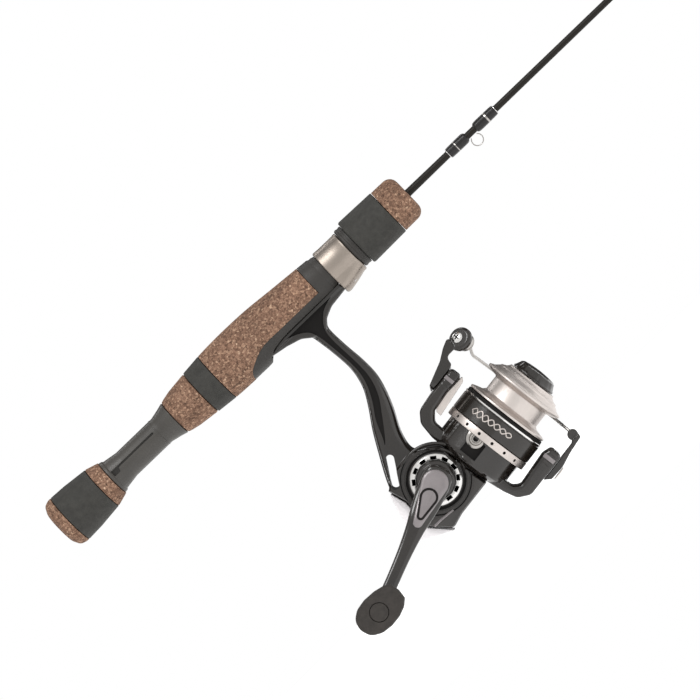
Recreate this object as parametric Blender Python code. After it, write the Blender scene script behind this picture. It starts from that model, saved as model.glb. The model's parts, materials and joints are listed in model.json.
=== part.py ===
"""Ice fishing rod with a spinning reel.

The rod lies along +X with its tip at +X, and the reel hangs under it towards -Z.  The origin is on
the rod's axis, right above the reel's stem.  Lengths in this file are in millimetres; mesh_object
and place turn them into metres.
"""
import math

import bmesh
import bpy
from mathutils import Vector

MM = 0.001
GAP = 0.3                     # clearance between neighbouring pieces

# ---- rod ---------------------------------------------------------------------------------------
TIP_X = 512.0                 # end of the blank
BLANK_BUTT_R = 2.0
BLANK_TIP_R = 0.65
BLANK_FRONT_R = 1.86          # where the blank leaves the fore grip
GRIP_R = 13.2                 # fattest point of the main grip
SEAT_REAR_X = -37.0
MAIN_GRIP_FRONT_X = 11.5
MAIN_GRIP_REAR_X = -48.5
SEAT_FRONT_X = 21.0
SEAT_R = 10.1
THREAD_R = 7.0                # threaded barrel inside the hood and the fore grip
HOOD_LENGTH = 14.0
LOCK_RING_LENGTH = 4.0
FORE_RUBBER_LENGTH = 20.5
FORE_CORK_LENGTH = 12.0
FORE_GRIP_R = 12.0
HOOD_TRAVEL = 10.0            # how far the fore grip unscrews to free the foot
BAND_LENGTH = 10.3
REAR_CORK_LENGTH = 16.5
TUBE_LENGTH = 39.7
TUBE_R = 7.0
TUBE_FLARE_R = 9.0
RING_LENGTH = 6.5
BUTT_RUBBER_LENGTH = 20.5
BUTT_CAP_LENGTH = 6.0
BUTT_R = 12.8

# ---- reel foot and stem ------------------------------------------------------------------------
FOOT_TOP_Z = -9.1
FOOT_WIDTH = 11.0
FOOT_REAR_X = -28.0
FOOT_FRONT_X = 26.5
REEL_DROP = 109.3             # spool axis below the rod's axis, at the reel's own origin
REEL_BACK = 9.0               # reel's own origin behind the rod's origin
REEL_TILT = 8.1               # degrees, spool axis nose-up to the rod

# ---- reel --------------------------------------------------------------------------------------
CASE_HALF = 10.8              # half width of the gear case
CASE_WALL = 2.2
CASE_FRONT_X = 14.0
CRANK_X = 1.1                 # crank axis, in the reel's own frame
CRANK_Z = 6.9
CRANK_THROW = 61.5
CRANK_DROP_DEG = 14.4         # the crank arm points this far below the reel's rear
CRANK_STAND_OFF = 15.0        # hub length that carries the arm outside the turning rotor
KNOB_TURN_DEG = 22.5          # the paddle's long side from the arm's line, at rest
WHEEL_BACK = 8.7              # oscillation gear's axis behind and below the crank's
WHEEL_DROP = 7.7
SHAFT_R = 2.0
DRIVE_SHAFT_R = 2.4
DRIVE_TEETH = 36
PINION_TEETH = 7
PINION_R = 3.3
STROKE = 6.8                  # spool oscillation
ROTOR_BACK_X = 14.3
ROTOR_DRUM_FRONT_X = 31.0
ROTOR_ARM_HALF = 8.6
BAIL_X = 38.5                 # bail pivot, on the spool axis
BAIL_WIRE_X = 55.0
BAIL_WIRE_R = 0.75
BAIL_RADIUS = 31.0
ROLLER_X = 58.0
ROLLER_Y = -1.5
ROLLER_Z = 36.5
ROLLER_LEAN_DEG = 35.0        # its axis leans in towards the spool on the wire's side
ROLLER_CONE_END = 7.4
SKIRT_R = 21.2
SKIRT_WALL = 1.0
ROTOR_DRUM_R = SKIRT_R - SKIRT_WALL - 1.2
SKIRT_REAR_X = 28.0
SKIRT_BAND_FRONT_X = 32.0
SKIRT_FRONT_X = 43.6
ARBOR_R = 14.3
LIP_R = 20.0
SPOOL_FRONT_X = 63.0
KNOB_FRONT_X = 68.6
DRAG_KNOB_R = 11.0


# ---- helpers -----------------------------------------------------------------------------------
def paint(name, colour, roughness, metallic=0.0):
    """A Principled BSDF material."""
    material = bpy.data.materials.new(name)
    material.use_nodes = True
    shader = material.node_tree.nodes["Principled BSDF"]
    shader.inputs["Base Color"].default_value = (*colour, 1.0)
    shader.inputs["Roughness"].default_value = roughness
    shader.inputs["Metallic"].default_value = metallic
    material.diffuse_color = (*colour, 1.0)
    return material


def place(name, parent=None, location=(0.0, 0.0, 0.0), turn=(0.0, 0.0, 0.0)):
    """An empty that carries pieces; location in millimetres, turn in degrees."""
    empty = bpy.data.objects.new(name, None)
    empty.empty_display_size = 0.005
    bpy.context.collection.objects.link(empty)
    empty.parent = parent
    empty.location = Vector(location) * MM
    empty.rotation_euler = [math.radians(angle) for angle in turn]
    return empty


def mesh_object(name, points, faces, material, parent=None, crease=32.0):
    """One closed solid from points in millimetres, shaded smooth with sharp creases."""
    shape = bmesh.new()
    corners = [shape.verts.new(Vector(point) * MM) for point in points]
    for face in faces:
        shape.faces.new([corners[index] for index in face])
    bmesh.ops.recalc_face_normals(shape, faces=shape.faces)
    mesh = bpy.data.meshes.new(name)
    shape.to_mesh(mesh)
    shape.free()
    mesh.materials.append(material)
    mesh.shade_smooth()
    mesh.set_sharp_from_angle(angle=math.radians(crease))
    solid = bpy.data.objects.new(name, mesh)
    bpy.context.collection.objects.link(solid)
    solid.parent = parent
    return solid


def on_axis(axis, along, radius, angle):
    """A point at a distance along the axis and a radius from it."""
    first = radius * math.cos(angle)
    second = radius * math.sin(angle)
    if axis == "X":
        return (along, first, second)
    if axis == "Y":
        return (second, along, first)
    return (first, second, along)


def lathe(name, profile, material, axis="X", segments=32, parent=None, centre=(0.0, 0.0, 0.0)):
    """A turned solid: profile is a closed outline of (along, radius) points."""
    points = []
    rings = []
    for along, radius in profile:
        if radius < 1e-6:
            rings.append([len(points)])
            points.append(Vector(on_axis(axis, along, 0.0, 0.0)) + Vector(centre))
            continue
        rings.append(list(range(len(points), len(points) + segments)))
        for step in range(segments):
            angle = 2.0 * math.pi * step / segments
            points.append(Vector(on_axis(axis, along, radius, angle)) + Vector(centre))
    faces = []
    for index, ring in enumerate(rings):
        other = rings[(index + 1) % len(rings)]
        if len(ring) == 1 and len(other) == 1:
            continue
        for step in range(segments):
            after = (step + 1) % segments
            if len(ring) == 1:
                faces.append((ring[0], other[step], other[after]))
            elif len(other) == 1:
                faces.append((ring[step], ring[after], other[0]))
            else:
                faces.append((ring[step], ring[after], other[after], other[step]))
    return mesh_object(name, points, faces, material, parent)


def rounded(corners, steps=3):
    """An outline from (x, z, radius) corners, each rounded by an arc."""
    outline = []
    count = len(corners)
    for index, (x, z, radius) in enumerate(corners):
        here = Vector((x, z))
        before = Vector(corners[index - 1][:2]) - here
        after = Vector(corners[(index + 1) % count][:2]) - here
        if radius <= 0.0:
            outline.append((x, z))
            continue
        half = before.angle(after) / 2.0
        reach = min(radius / math.tan(half), before.length * 0.48, after.length * 0.48)
        bend = reach * math.tan(half)
        middle = here + (before.normalized() + after.normalized()).normalized() * (bend / math.sin(half))
        start = here + before.normalized() * reach - middle
        end = here + after.normalized() * reach - middle
        sweep = start.angle_signed(end)
        for step in range(steps + 1):
            angle = -sweep * step / steps
            cosine, sine = math.cos(angle), math.sin(angle)
            outline.append((middle.x + start.x * cosine - start.y * sine,
                            middle.y + start.x * sine + start.y * cosine))
    return outline


def inset(outline, amount):
    """The outline moved inwards by amount; corners run counter-clockwise in x and z."""
    moved = []
    count = len(outline)
    for index in range(count):
        here = Vector(outline[index])
        back = (here - Vector(outline[index - 1])).normalized()
        ahead = (Vector(outline[(index + 1) % count]) - here).normalized()
        normal = Vector((-(back.y + ahead.y), back.x + ahead.x)).normalized()
        spread = max(0.5, normal.dot(Vector((-back.y, back.x))))
        moved.append(tuple(here + normal * (amount / spread)))
    return moved


def prism(name, outline, near, far, material, parent=None, edge=0.0, crease=32.0):
    """The (x, z) outline extruded from y = near to y = far, with chamfered rims."""
    layers = [(near, 0.0), (far, 0.0)]
    if edge > 0.0:
        layers = [(near, edge), (near + edge * 0.3, edge * 0.3), (near + edge, 0.0),
                  (far - edge, 0.0), (far - edge * 0.3, edge * 0.3), (far, edge)]
    points = []
    for y, shrink in layers:
        shape = inset(outline, shrink) if shrink else outline
        points += [(x, y, z) for x, z in shape]
    count = len(outline)
    faces = [tuple(range(count)), tuple(range(len(points) - count, len(points)))]
    for layer in range(len(layers) - 1):
        for index in range(count):
            after = (index + 1) % count
            low, high = layer * count, (layer + 1) * count
            faces.append((low + index, low + after, high + after, high + index))
    return mesh_object(name, points, faces, material, parent, crease)


def loft(name, sections, material, parent=None):
    """A solid through sections that all have the same number of points."""
    count = len(sections[0])
    points = [point for section in sections for point in section]
    faces = [tuple(range(count)), tuple(range(len(points) - count, len(points)))]
    for layer in range(len(sections) - 1):
        for index in range(count):
            after = (index + 1) % count
            low, high = layer * count, (layer + 1) * count
            faces.append((low + index, low + after, high + after, high + index))
    return mesh_object(name, points, faces, material, parent)


def oval(steps, squareness=1.0):
    """Unit points round an oval; squareness under 1 fills its corners."""
    points = []
    for step in range(steps):
        angle = 2.0 * math.pi * step / steps
        cosine, sine = math.cos(angle), math.sin(angle)
        points.append((math.copysign(abs(cosine) ** squareness, cosine),
                       math.copysign(abs(sine) ** squareness, sine)))
    return points


def sweep(name, path, radius, material, sides=8, parent=None):
    """A round wire along a list of points."""
    path = [Vector(point) for point in path]
    side = None
    sections = []
    for index, here in enumerate(path):
        ahead = path[min(index + 1, len(path) - 1)] - path[max(index - 1, 0)]
        ahead.normalize()
        if side is None:
            side = ahead.orthogonal().normalized()
        side = (side - ahead * side.dot(ahead)).normalized()
        up = ahead.cross(side)
        sections.append([here + (side * math.cos(2.0 * math.pi * step / sides)
                                 + up * math.sin(2.0 * math.pi * step / sides)) * radius
                         for step in range(sides)])
    return loft(name, sections, material, parent)


def tool(solid):
    """Marks a helper solid that only shapes another piece."""
    solid.hide_render = True
    solid.display_type = "WIRE"
    return solid


def boolean(solid, helper, operation):
    """Applies a helper solid to a piece."""
    step = solid.modifiers.new(operation.lower(), "BOOLEAN")
    step.operation = operation
    step.object = tool(helper)
    return solid


def cut(solid, helper):
    return boolean(solid, helper, "DIFFERENCE")


def unite(solid, helper):
    return boolean(solid, helper, "UNION")


def box(name, low, high, parent=None):
    """A plain block used for cutting or uniting."""
    outline = [(low[0], low[2]), (high[0], low[2]), (high[0], high[2]), (low[0], high[2])]
    return prism(name, outline, low[1], high[1], STEEL, parent)


def rod_bar(name, axis, start, end, radius, centre=(0.0, 0.0, 0.0), parent=None, segments=24):
    """A plain cylinder used for cutting or uniting."""
    profile = [(start, 0.0), (start, radius), (end, radius), (end, 0.0)]
    return lathe(name, profile, STEEL, axis, segments, parent, centre)


def gear_ring(name, teeth, root, tip, near, far, bore, material, axis, parent=None,
              centre=(0.0, 0.0, 0.0), twist=0.0):
    """A spur or helical gear with a bore."""
    wave = [root, root, tip, tip]
    steps = teeth * len(wave)
    layers = [(near, 0.0, False), (far, twist, False), (far, twist, True), (near, 0.0, True)]
    points = []
    for along, turn, inner in layers:
        for step in range(steps):
            angle = 2.0 * math.pi * (step + 0.5) / steps + turn
            radius = bore if inner else wave[step % len(wave)]
            points.append(Vector(on_axis(axis, along, radius, angle)) + Vector(centre))
    faces = []
    for layer in range(len(layers)):
        low, high = layer * steps, ((layer + 1) % len(layers)) * steps
        for step in range(steps):
            after = (step + 1) % steps
            faces.append((low + step, low + after, high + after, high + step))
    return mesh_object(name, points, faces, material, parent)


for leftover in list(bpy.data.objects):
    bpy.data.objects.remove(leftover)

CORK = paint("burl_cork", (0.30, 0.16, 0.10), 0.85)
RUBBER = paint("dark_rubber", (0.045, 0.043, 0.040), 0.75)
BLANK = paint("blank", (0.03, 0.027, 0.022), 0.35)
COMPOSITE = paint("grey_composite", (0.075, 0.073, 0.070), 0.5)
SEAT = paint("seat_plastic", (0.05, 0.048, 0.045), 0.45)
THREAD = paint("lacquered_thread", (0.012, 0.012, 0.012), 0.2)
STEEL = paint("steel", (0.62, 0.61, 0.60), 0.25, 1.0)
SATIN = paint("satin_silver", (0.66, 0.62, 0.60), 0.4, 0.9)
CHROME = paint("chrome", (0.82, 0.82, 0.82), 0.1, 1.0)
GRAPHITE = paint("gloss_graphite", (0.06, 0.056, 0.052), 0.3, 0.3)
GUNMETAL = paint("gunmetal", (0.2, 0.19, 0.2), 0.35, 0.7)
SHELL = paint("silver_shell", (0.72, 0.7, 0.7), 0.4, 0.1)
BRASS = paint("brass", (0.7, 0.5, 0.22), 0.35, 1.0)
FELT = paint("drag_felt", (0.12, 0.1, 0.08), 0.95)
BLACK = paint("black_plastic", (0.02, 0.018, 0.016), 0.4)

# ---- stations along the handle, from the seat outwards -------------------------------------------
BAND_REAR_X = MAIN_GRIP_REAR_X - BAND_LENGTH
REAR_CORK_REAR_X = BAND_REAR_X - REAR_CORK_LENGTH
TUBE_REAR_X = REAR_CORK_REAR_X - TUBE_LENGTH
RING_REAR_X = TUBE_REAR_X - RING_LENGTH
BUTT_RUBBER_REAR_X = RING_REAR_X - BUTT_RUBBER_LENGTH
BUTT_X = BUTT_RUBBER_REAR_X - BUTT_CAP_LENGTH
HOOD_FRONT_X = SEAT_FRONT_X + HOOD_LENGTH
LOCK_FRONT_X = HOOD_FRONT_X + LOCK_RING_LENGTH
FORE_RUBBER_FRONT_X = LOCK_FRONT_X + FORE_RUBBER_LENGTH
FORE_FRONT_X = FORE_RUBBER_FRONT_X + FORE_CORK_LENGTH
BARREL_FRONT_X = FORE_RUBBER_FRONT_X - 5.0
HANDLE_BORE = BLANK_BUTT_R + GAP


def blank_radius(x):
    """The blank's taper: thick in the handle, quick just ahead of it, then slow to the tip."""
    stations = [(BUTT_X, BLANK_BUTT_R), (FORE_FRONT_X, BLANK_FRONT_R),
                (FORE_FRONT_X + 40.0, BLANK_FRONT_R * 0.87),
                (FORE_FRONT_X + 130.0, BLANK_FRONT_R * 0.81), (TIP_X, BLANK_TIP_R)]
    for (x0, r0), (x1, r1) in zip(stations, stations[1:]):
        if x <= x1:
            return r0 + (r1 - r0) * (x - x0) / (x1 - x0)
    return BLANK_TIP_R


def sleeve(name, outer, bore, material, segments=32, crease_bore=None):
    """A ring along the rod from (x, radius) outer points and one bore radius."""
    first, last = outer[0][0], outer[-1][0]
    inner = crease_bore or [(last, bore), (first, bore)]
    return lathe(name, outer + inner, material, "X", segments)


def build_blank():
    start = BUTT_RUBBER_REAR_X + 4.0
    stations = [start, FORE_FRONT_X, FORE_FRONT_X + 40.0, FORE_FRONT_X + 130.0, TIP_X]
    profile = [(start, 0.0)] + [(x, blank_radius(x)) for x in stations] + [(TIP_X, 0.0)]
    lathe("rod_blank", profile, BLANK, "X", 16)


def build_butt():
    cap = BUTT_CAP_LENGTH
    lathe("butt_cap", [(BUTT_X, 0.0), (BUTT_X, BUTT_R * 0.62),
                       (BUTT_X + cap * 0.12, BUTT_R * 0.8), (BUTT_X + cap * 0.4, BUTT_R * 0.94),
                       (BUTT_X + cap, BUTT_R), (BUTT_X + cap, 0.0)], CORK, "X", 28)
    front = RING_REAR_X - GAP
    rear = BUTT_RUBBER_REAR_X + GAP
    sleeve("butt_grip", [(rear, BUTT_R), (rear + 8.0, BUTT_R * 0.965), (front, BUTT_R * 0.875)],
           HANDLE_BORE, RUBBER, 28)
    sleeve("butt_ring", [(RING_REAR_X, BUTT_R * 0.875), (TUBE_REAR_X - GAP, TUBE_FLARE_R * 1.04)],
           HANDLE_BORE, CORK, 28)


def build_tube():
    """The slim composite grip tube, flared at both ends, with a long recess in each flank."""
    rear = TUBE_REAR_X
    front = REAR_CORK_REAR_X - GAP
    tube = sleeve("handle_tube", [(rear, TUBE_FLARE_R), (rear + 3.0, TUBE_FLARE_R * 0.9),
                                  (rear + 9.0, TUBE_R), (front - 8.0, TUBE_R),
                                  (front - 3.0, TUBE_FLARE_R * 0.88), (front, TUBE_FLARE_R)],
                  HANDLE_BORE, COMPOSITE, 26)
    for side, mark in ((-1.0, "near"), (1.0, "far")):
        low = min(side * TUBE_R * 0.8, side * TUBE_R * 1.6)
        high = max(side * TUBE_R * 0.8, side * TUBE_R * 1.6)
        cut(tube, box("panel_" + mark, (rear + 1.5, low, 1.0), (rear + 28.0, high, 2.2)))


def build_rear_grip():
    sleeve("rear_grip", [(REAR_CORK_REAR_X, TUBE_FLARE_R), (REAR_CORK_REAR_X + 4.0, GRIP_R * 0.76),
                         (BAND_REAR_X - GAP, GRIP_R * 0.88)], HANDLE_BORE, CORK, 28)
    sleeve("grip_band", [(BAND_REAR_X, GRIP_R * 0.89), (MAIN_GRIP_REAR_X - GAP, GRIP_R * 0.965)],
           HANDLE_BORE, RUBBER, 28)


def seat_line(offset=0.0):
    """The joint line between the cork and the reel seat, from rear to front, as (x, z)."""
    rear = SEAT_REAR_X
    return [(rear - 1.0, -GRIP_R - 3.0 + offset), (rear - offset * 0.5, -GRIP_R + 1.4 + offset),
            (rear + 1.6 - offset * 0.5, -GRIP_R + 3.6 + offset), (rear + 5.0, -7.6 + offset),
            (rear + 10.0, -5.5 + offset), (rear + 15.0, -4.6 + offset)]


def build_main_grip():
    """The fat cork grip, cut away below where the reel seat comes through."""
    rear = MAIN_GRIP_REAR_X
    front = MAIN_GRIP_FRONT_X - GAP
    grip = sleeve("main_grip", [(rear, GRIP_R * 0.965), (rear + 7.0, GRIP_R * 0.99),
                                (rear + 17.0, GRIP_R), (rear + 30.0, GRIP_R * 0.975),
                                (rear + 45.0, GRIP_R * 0.88), (front, SEAT_R * 1.03)],
                  HANDLE_BORE, CORK, 32)
    line = seat_line(GAP)
    outline = line + [(front + 5.0, line[-1][1]), (front + 5.0, -40.0), (line[0][0], -40.0)]
    cut(grip, prism("grip_cutaway", outline[::-1], -40.0, 40.0, STEEL))


def build_seat():
    """The reel seat: rear hood, flat bed for the foot, collar and threaded barrel."""
    rear = SEAT_REAR_X - 1.0
    seat = sleeve("reel_seat", [(rear, GRIP_R * 1.005), (rear + 9.0, GRIP_R * 1.01),
                                (rear + 20.0, GRIP_R * 0.955), (MAIN_GRIP_FRONT_X, SEAT_R * 1.03),
                                (MAIN_GRIP_FRONT_X + 6.0, SEAT_R), (SEAT_FRONT_X - 1.5, SEAT_R * 0.97),
                                (SEAT_FRONT_X - GAP, SEAT_R * 0.9), (SEAT_FRONT_X - GAP, THREAD_R),
                                (BARREL_FRONT_X, THREAD_R)], HANDLE_BORE, SEAT, 32)
    line = seat_line()
    top = [(MAIN_GRIP_FRONT_X, line[-1][1]), (MAIN_GRIP_FRONT_X, 40.0), (rear - 5.0, 40.0)]
    low = [(rear - 5.0, -40.0), (line[0][0], -40.0)]
    cut(seat, prism("seat_top", (line + top + low), -40.0, 40.0, STEEL))
    hood_x = SEAT_REAR_X + 11.5
    bed = FOOT_TOP_Z + GAP * 2.0
    shelf = [(hood_x, -40.0), (hood_x, -GRIP_R), (hood_x + 2.6, -11.6), (hood_x + 2.6, bed),
             (SEAT_FRONT_X + 0.5, bed), (SEAT_FRONT_X + 0.5, -40.0)]
    cut(seat, prism("foot_bed", shelf[::-1], -40.0, 40.0, STEEL))
    half = FOOT_WIDTH / 2.0 + GAP
    cut(seat, box("rear_hood_pocket", (FOOT_REAR_X - GAP, -half, -11.4), (hood_x + 4.0, half, bed)))


def build_hood():
    """The sliding front hood, deeper below to take the foot."""
    count = 36
    stations = [(SEAT_FRONT_X, SEAT_R * 0.99, 13.4), (SEAT_FRONT_X + 1.6, SEAT_R, 14.0),
                (SEAT_FRONT_X + 5.0, SEAT_R, 13.4), (HOOD_FRONT_X - GAP, SEAT_R * 0.98, 11.4)]
    sections = []
    for x, top, depth in stations:
        ring = []
        for step in range(count):
            angle = 2.0 * math.pi * step / count
            down = max(0.0, -math.sin(angle))
            radius = top + (depth - top) * down ** 2.5
            ring.append((x, radius * math.cos(angle), radius * math.sin(angle)))
        sections.append(ring)
    hood = loft("seat_hood", sections, SATIN)
    cut(hood, rod_bar("hood_bore", "X", SEAT_FRONT_X - 2.0, HOOD_FRONT_X + 2.0, THREAD_R + GAP))
    half = FOOT_WIDTH / 2.0 + GAP
    cut(hood, box("front_hood_pocket", (SEAT_FRONT_X - 2.0, -half, -12.2),
                  (FOOT_FRONT_X + 1.5, half, FOOT_TOP_Z + GAP)))


def build_fore_grip():
    bore = THREAD_R + GAP
    sleeve("lock_ring", [(HOOD_FRONT_X, SEAT_R * 1.02), (HOOD_FRONT_X + 0.8, SEAT_R * 1.07),
                         (LOCK_FRONT_X - GAP, SEAT_R * 1.07)], bore, BLACK, 28)
    rear, front = LOCK_FRONT_X, FORE_RUBBER_FRONT_X - GAP
    step = BARREL_FRONT_X + GAP
    nose = blank_radius(FORE_RUBBER_FRONT_X) + GAP
    sleeve("fore_grip_rubber", [(rear, FORE_GRIP_R * 0.97), (rear + 0.8, FORE_GRIP_R * 1.02),
                                (front, FORE_GRIP_R * 0.985)], bore, RUBBER, 28,
           [(front, nose), (step, nose), (step, bore), (rear, bore)])
    rear, front = FORE_RUBBER_FRONT_X, FORE_FRONT_X
    nose = blank_radius(rear) + GAP
    sleeve("fore_grip_cork", [(rear, FORE_GRIP_R * 0.97), (front - 4.6, FORE_GRIP_R * 0.955),
                              (front - 2.2, FORE_GRIP_R * 0.9), (front - 0.6, FORE_GRIP_R * 0.77),
                              (front, FORE_GRIP_R * 0.6)], nose, CORK, 28)


def build_keeper():
    """Hook keeper: a wire loop under the blank between two lacquered thread wraps."""
    centre = FORE_FRONT_X + HOOD_TRAVEL + 29.7
    loop_r, wire_r = 2.75, 0.25
    drop = blank_radius(centre) + wire_r + GAP
    start = math.acos((1.57) / loop_r)
    height = drop + loop_r * math.sin(start)
    turn = 2.0 * math.pi - (math.pi - 2.0 * start)
    steps = 16
    path = []
    for step in range(steps + 1):
        angle = math.pi - start + turn * step / steps
        path.append((centre + loop_r * math.cos(angle), 0.0, -height + loop_r * math.sin(angle)))
    sweep("keeper_loop", path, wire_r, STEEL, 6)
    inner = loop_r - 0.15
    for name, first, last in (("keeper_wrap_rear", centre - 14.2, centre - inner),
                              ("keeper_wrap_front", centre + inner, centre + 15.3)):
        bore = blank_radius(first) + GAP
        ramp = [(first, bore + 0.35), (first + 1.0, bore + 0.7), (last - 1.0, bore + 0.7),
                (last, bore + 0.35)]
        sleeve(name, ramp, bore, THREAD, 16)


def build_guides():
    """Line guides under the blank, each a ring on a single foot held by a thread wrap."""
    places = [(0.36, 5.2, 13.0), (0.59, 3.6, 9.0), (0.76, 2.7, 6.8), (0.89, 2.2, 5.4)]
    span = TIP_X - FORE_FRONT_X
    for number, (share, ring_r, height) in enumerate(places, 1):
        x = FORE_FRONT_X + span * share
        radius = blank_radius(x)
        wire = 0.55
        steps = 16
        ring = lathe("guide_%d" % number,
                     [(x + wire * math.cos(a), ring_r + wire + wire * math.sin(a))
                      for a in [2.0 * math.pi * k / 6 for k in range(6)]],
                     STEEL, "X", steps, None, (0.0, 0.0, -height))
        top = -radius - GAP
        foot = 11.0
        outline = [(x - 1.0 - foot, top), (x - 1.0 - foot, top - 0.25), (x - 4.0, top - 0.75),
                   (x - 0.4, -height + ring_r + wire), (x + 0.4, -height + ring_r + wire),
                   (x - 1.0, top - 0.5), (x - 1.6, top)]
        unite(ring, prism("guide_foot_%d" % number, outline, -0.9, 0.9, STEEL))
        rear, front = x - foot - 2.6, x - 4.2
        wrap_bore = radius + GAP
        sleeve("guide_wrap_%d" % number,
               [(rear, wrap_bore + 0.35), (rear + 1.2, wrap_bore + 1.3), (front, wrap_bore + 1.85)],
               wrap_bore, THREAD, 14, [(front, wrap_bore + 1.5), (x - foot - 1.3, wrap_bore + 0.95),
                                       (rear + 0.6, wrap_bore), (rear, wrap_bore)])


def build_tip():
    """Tip-top: a tube over the blank's end with a tilted ring at its nose."""
    bore = BLANK_TIP_R * 1.35 + GAP
    tube = sleeve("tip_top", [(TIP_X - 9.0, bore + 0.35), (TIP_X + 0.6, bore + 0.35)], bore, STEEL, 12)
    ring_r, wire = 1.8, 0.5
    profile = [(TIP_X + 1.0 + wire * math.cos(a), ring_r + wire * math.sin(a))
               for a in [2.0 * math.pi * k / 6 for k in range(6)]]
    unite(tube, lathe("tip_ring", profile, STEEL, "X", 14, None, (0.0, 0.0, -ring_r - 0.5)))


# ---- reel ----------------------------------------------------------------------------------------
def stem_sections():
    """Level sections of the stem, from the foot down into the gear case."""
    stations = [(-10.4, -9.5, 9.5, 5.0), (-12.3, -9.0, 9.0, 5.0), (-13.6, -7.2, 7.0, 4.9),
                (-16.0, -5.5, 4.9, 4.7), (-20.0, -4.4, 3.3, 4.5), (-30.0, -3.0, 3.6, 4.4),
                (-40.0, -2.4, 4.6, 4.4), (-49.0, -4.2, 4.6, 4.6), (-57.0, -8.4, 2.8, 5.0),
                (-66.0, -14.4, -0.6, 5.6), (-76.0, -20.4, -5.4, 6.6), (-84.0, -25.2, -7.0, 7.6),
                (-88.6, -27.4, -4.6, 8.4), (-90.6, -26.8, -2.6, 8.6)]
    slope = math.tan(math.radians(REEL_TILT))
    sections = []
    for z, rear, front, half in stations:
        centre, reach = (rear + front) / 2.0, (front - rear) / 2.0
        lean = slope * min(1.0, max(0.0, (-66.0 - z) / 22.0))
        ring = []
        for a, b in oval(20, 0.62):
            x = centre + reach * a
            ring.append((x, half * b, z + lean * (x + REEL_BACK)))
        sections.append(ring)
    return sections


def case_outline():
    """The gear case seen from the side, in the reel's own frame, counter-clockwise."""
    front = CASE_FRONT_X
    return rounded([(-16.6, 20.4, 0.0), (-15.2, 11.0, 3.0), (-18.4, -3.0, 2.8), (-11.2, -13.2, 2.8),
                    (-4.0, -12.0, 4.0), (front, -12.0, 0.0), (front, 15.0, 2.8), (9.5, 19.5, 3.0),
                    (4.0, 23.5, 3.0), (-10.0, 24.0, 3.0)])


def build_case(reel):
    """Foot, stem and gear case in one casting, hollow and open towards the crank side."""
    outline = case_outline()
    case = prism("reel_body", outline, -CASE_HALF, CASE_HALF, GRAPHITE, reel, 1.8)
    cavity = [(-13.0, 12.0), (-15.8, -2.8), (-10.0, -10.4), (-4.0, CASE_WALL - 12.0),
              (CASE_FRONT_X - CASE_WALL, CASE_WALL - 12.0), (CASE_FRONT_X - CASE_WALL, 13.6),
              (7.5, 17.2), (-9.0, 17.2)]
    cut(case, prism("cavity", cavity, -CASE_HALF - 5.0, CASE_HALF - CASE_WALL, STEEL, reel))
    unite(case, loft("stem", stem_sections(), GRAPHITE))
    foot = [(FOOT_REAR_X, FOOT_TOP_Z, 0.3), (FOOT_REAR_X, FOOT_TOP_Z - 1.6, 0.5),
            (-22.0, -11.4, 3.0), (-10.0, -12.9, 2.0), (10.0, -12.9, 2.0), (20.0, -11.7, 3.0),
            (FOOT_FRONT_X, FOOT_TOP_Z - 1.5, 0.5), (FOOT_FRONT_X, FOOT_TOP_Z, 0.3)]
    unite(case, prism("foot", rounded(foot, 3), -FOOT_WIDTH / 2.0, FOOT_WIDTH / 2.0, GRAPHITE))
    cut(case, rod_bar("pinion_hole", "X", 8.0, CASE_FRONT_X + 4.0, 6.0, parent=reel))
    cut(case, rod_bar("far_hole", "Y", 4.0, CASE_HALF + 4.0, 4.4, (CRANK_X, 0.0, CRANK_Z), reel))
    start, end, half = Vector((-4.6, 29.0)), Vector((-12.4, 19.8)), 1.9
    along = (end - start).normalized()
    side = Vector((-along.y, along.x)) * half
    slot = []
    for tip, sign in ((start, -1.0), (end, 1.0)):
        for step in range(7):
            angle = math.pi * step / 6.0
            slot.append(tuple(tip - side * sign * math.cos(angle) + along * sign * half * math.sin(angle)))
    cut(case, prism("stem_slot", slot, -20.0, 20.0, STEEL, reel))
    return outline


def build_covers(reel, outline):
    near = -CASE_HALF - GAP
    plate = prism("side_cover", inset(outline, 0.6), near - 1.7, near, GRAPHITE, reel, 0.7)
    hub = [(near - 1.0, 0.0), (near - 1.0, 8.7), (near - 4.6, 8.7), (near - 5.4, 8.0),
           (near - 5.4, 0.0)]
    unite(plate, lathe("cover_boss", hub, GRAPHITE, "Y", 36, reel, (CRANK_X, 0.0, CRANK_Z)))
    cut(plate, rod_bar("near_hole", "Y", near - 9.0, near + 3.0, 4.4, (CRANK_X, 0.0, CRANK_Z), reel))
    face = near - 1.7 - GAP
    ring = [(face, 9.0), (face, 12.0), (face - 1.4, 11.6), (face - 1.9, 10.8), (face - 1.9, 9.0)]
    ring_solid = lathe("side_ring", ring, CHROME, "Y", 36, reel, (CRANK_X, 0.0, CRANK_Z))
    notches = 12
    for index in range(notches):
        angle = 2.0 * math.pi * (index + 0.5) / notches
        spot = Vector((CRANK_X + 10.0 * math.cos(angle), 0.0, CRANK_Z + 10.0 * math.sin(angle)))
        block = box("notch_%d" % index, (-0.9, face - 3.0, -1.5), (0.9, face - 1.0, 1.5), reel)
        block.location = spot * MM
        block.rotation_euler = (0.0, -angle, 0.0)
        cut(ring_solid, block)
    shell = [(-17.4, 19.0), (-19.8, 14.0), (-23.4, 5.0), (-24.8, -4.8), (-20.0, -8.2), (-11.8, -13.9),
             (-18.9, -3.2), (-15.7, 11.0), (-16.8, 18.0)]
    prism("rear_cover", shell, -8.6, 8.6, SHELL, reel, 0.0)


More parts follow.
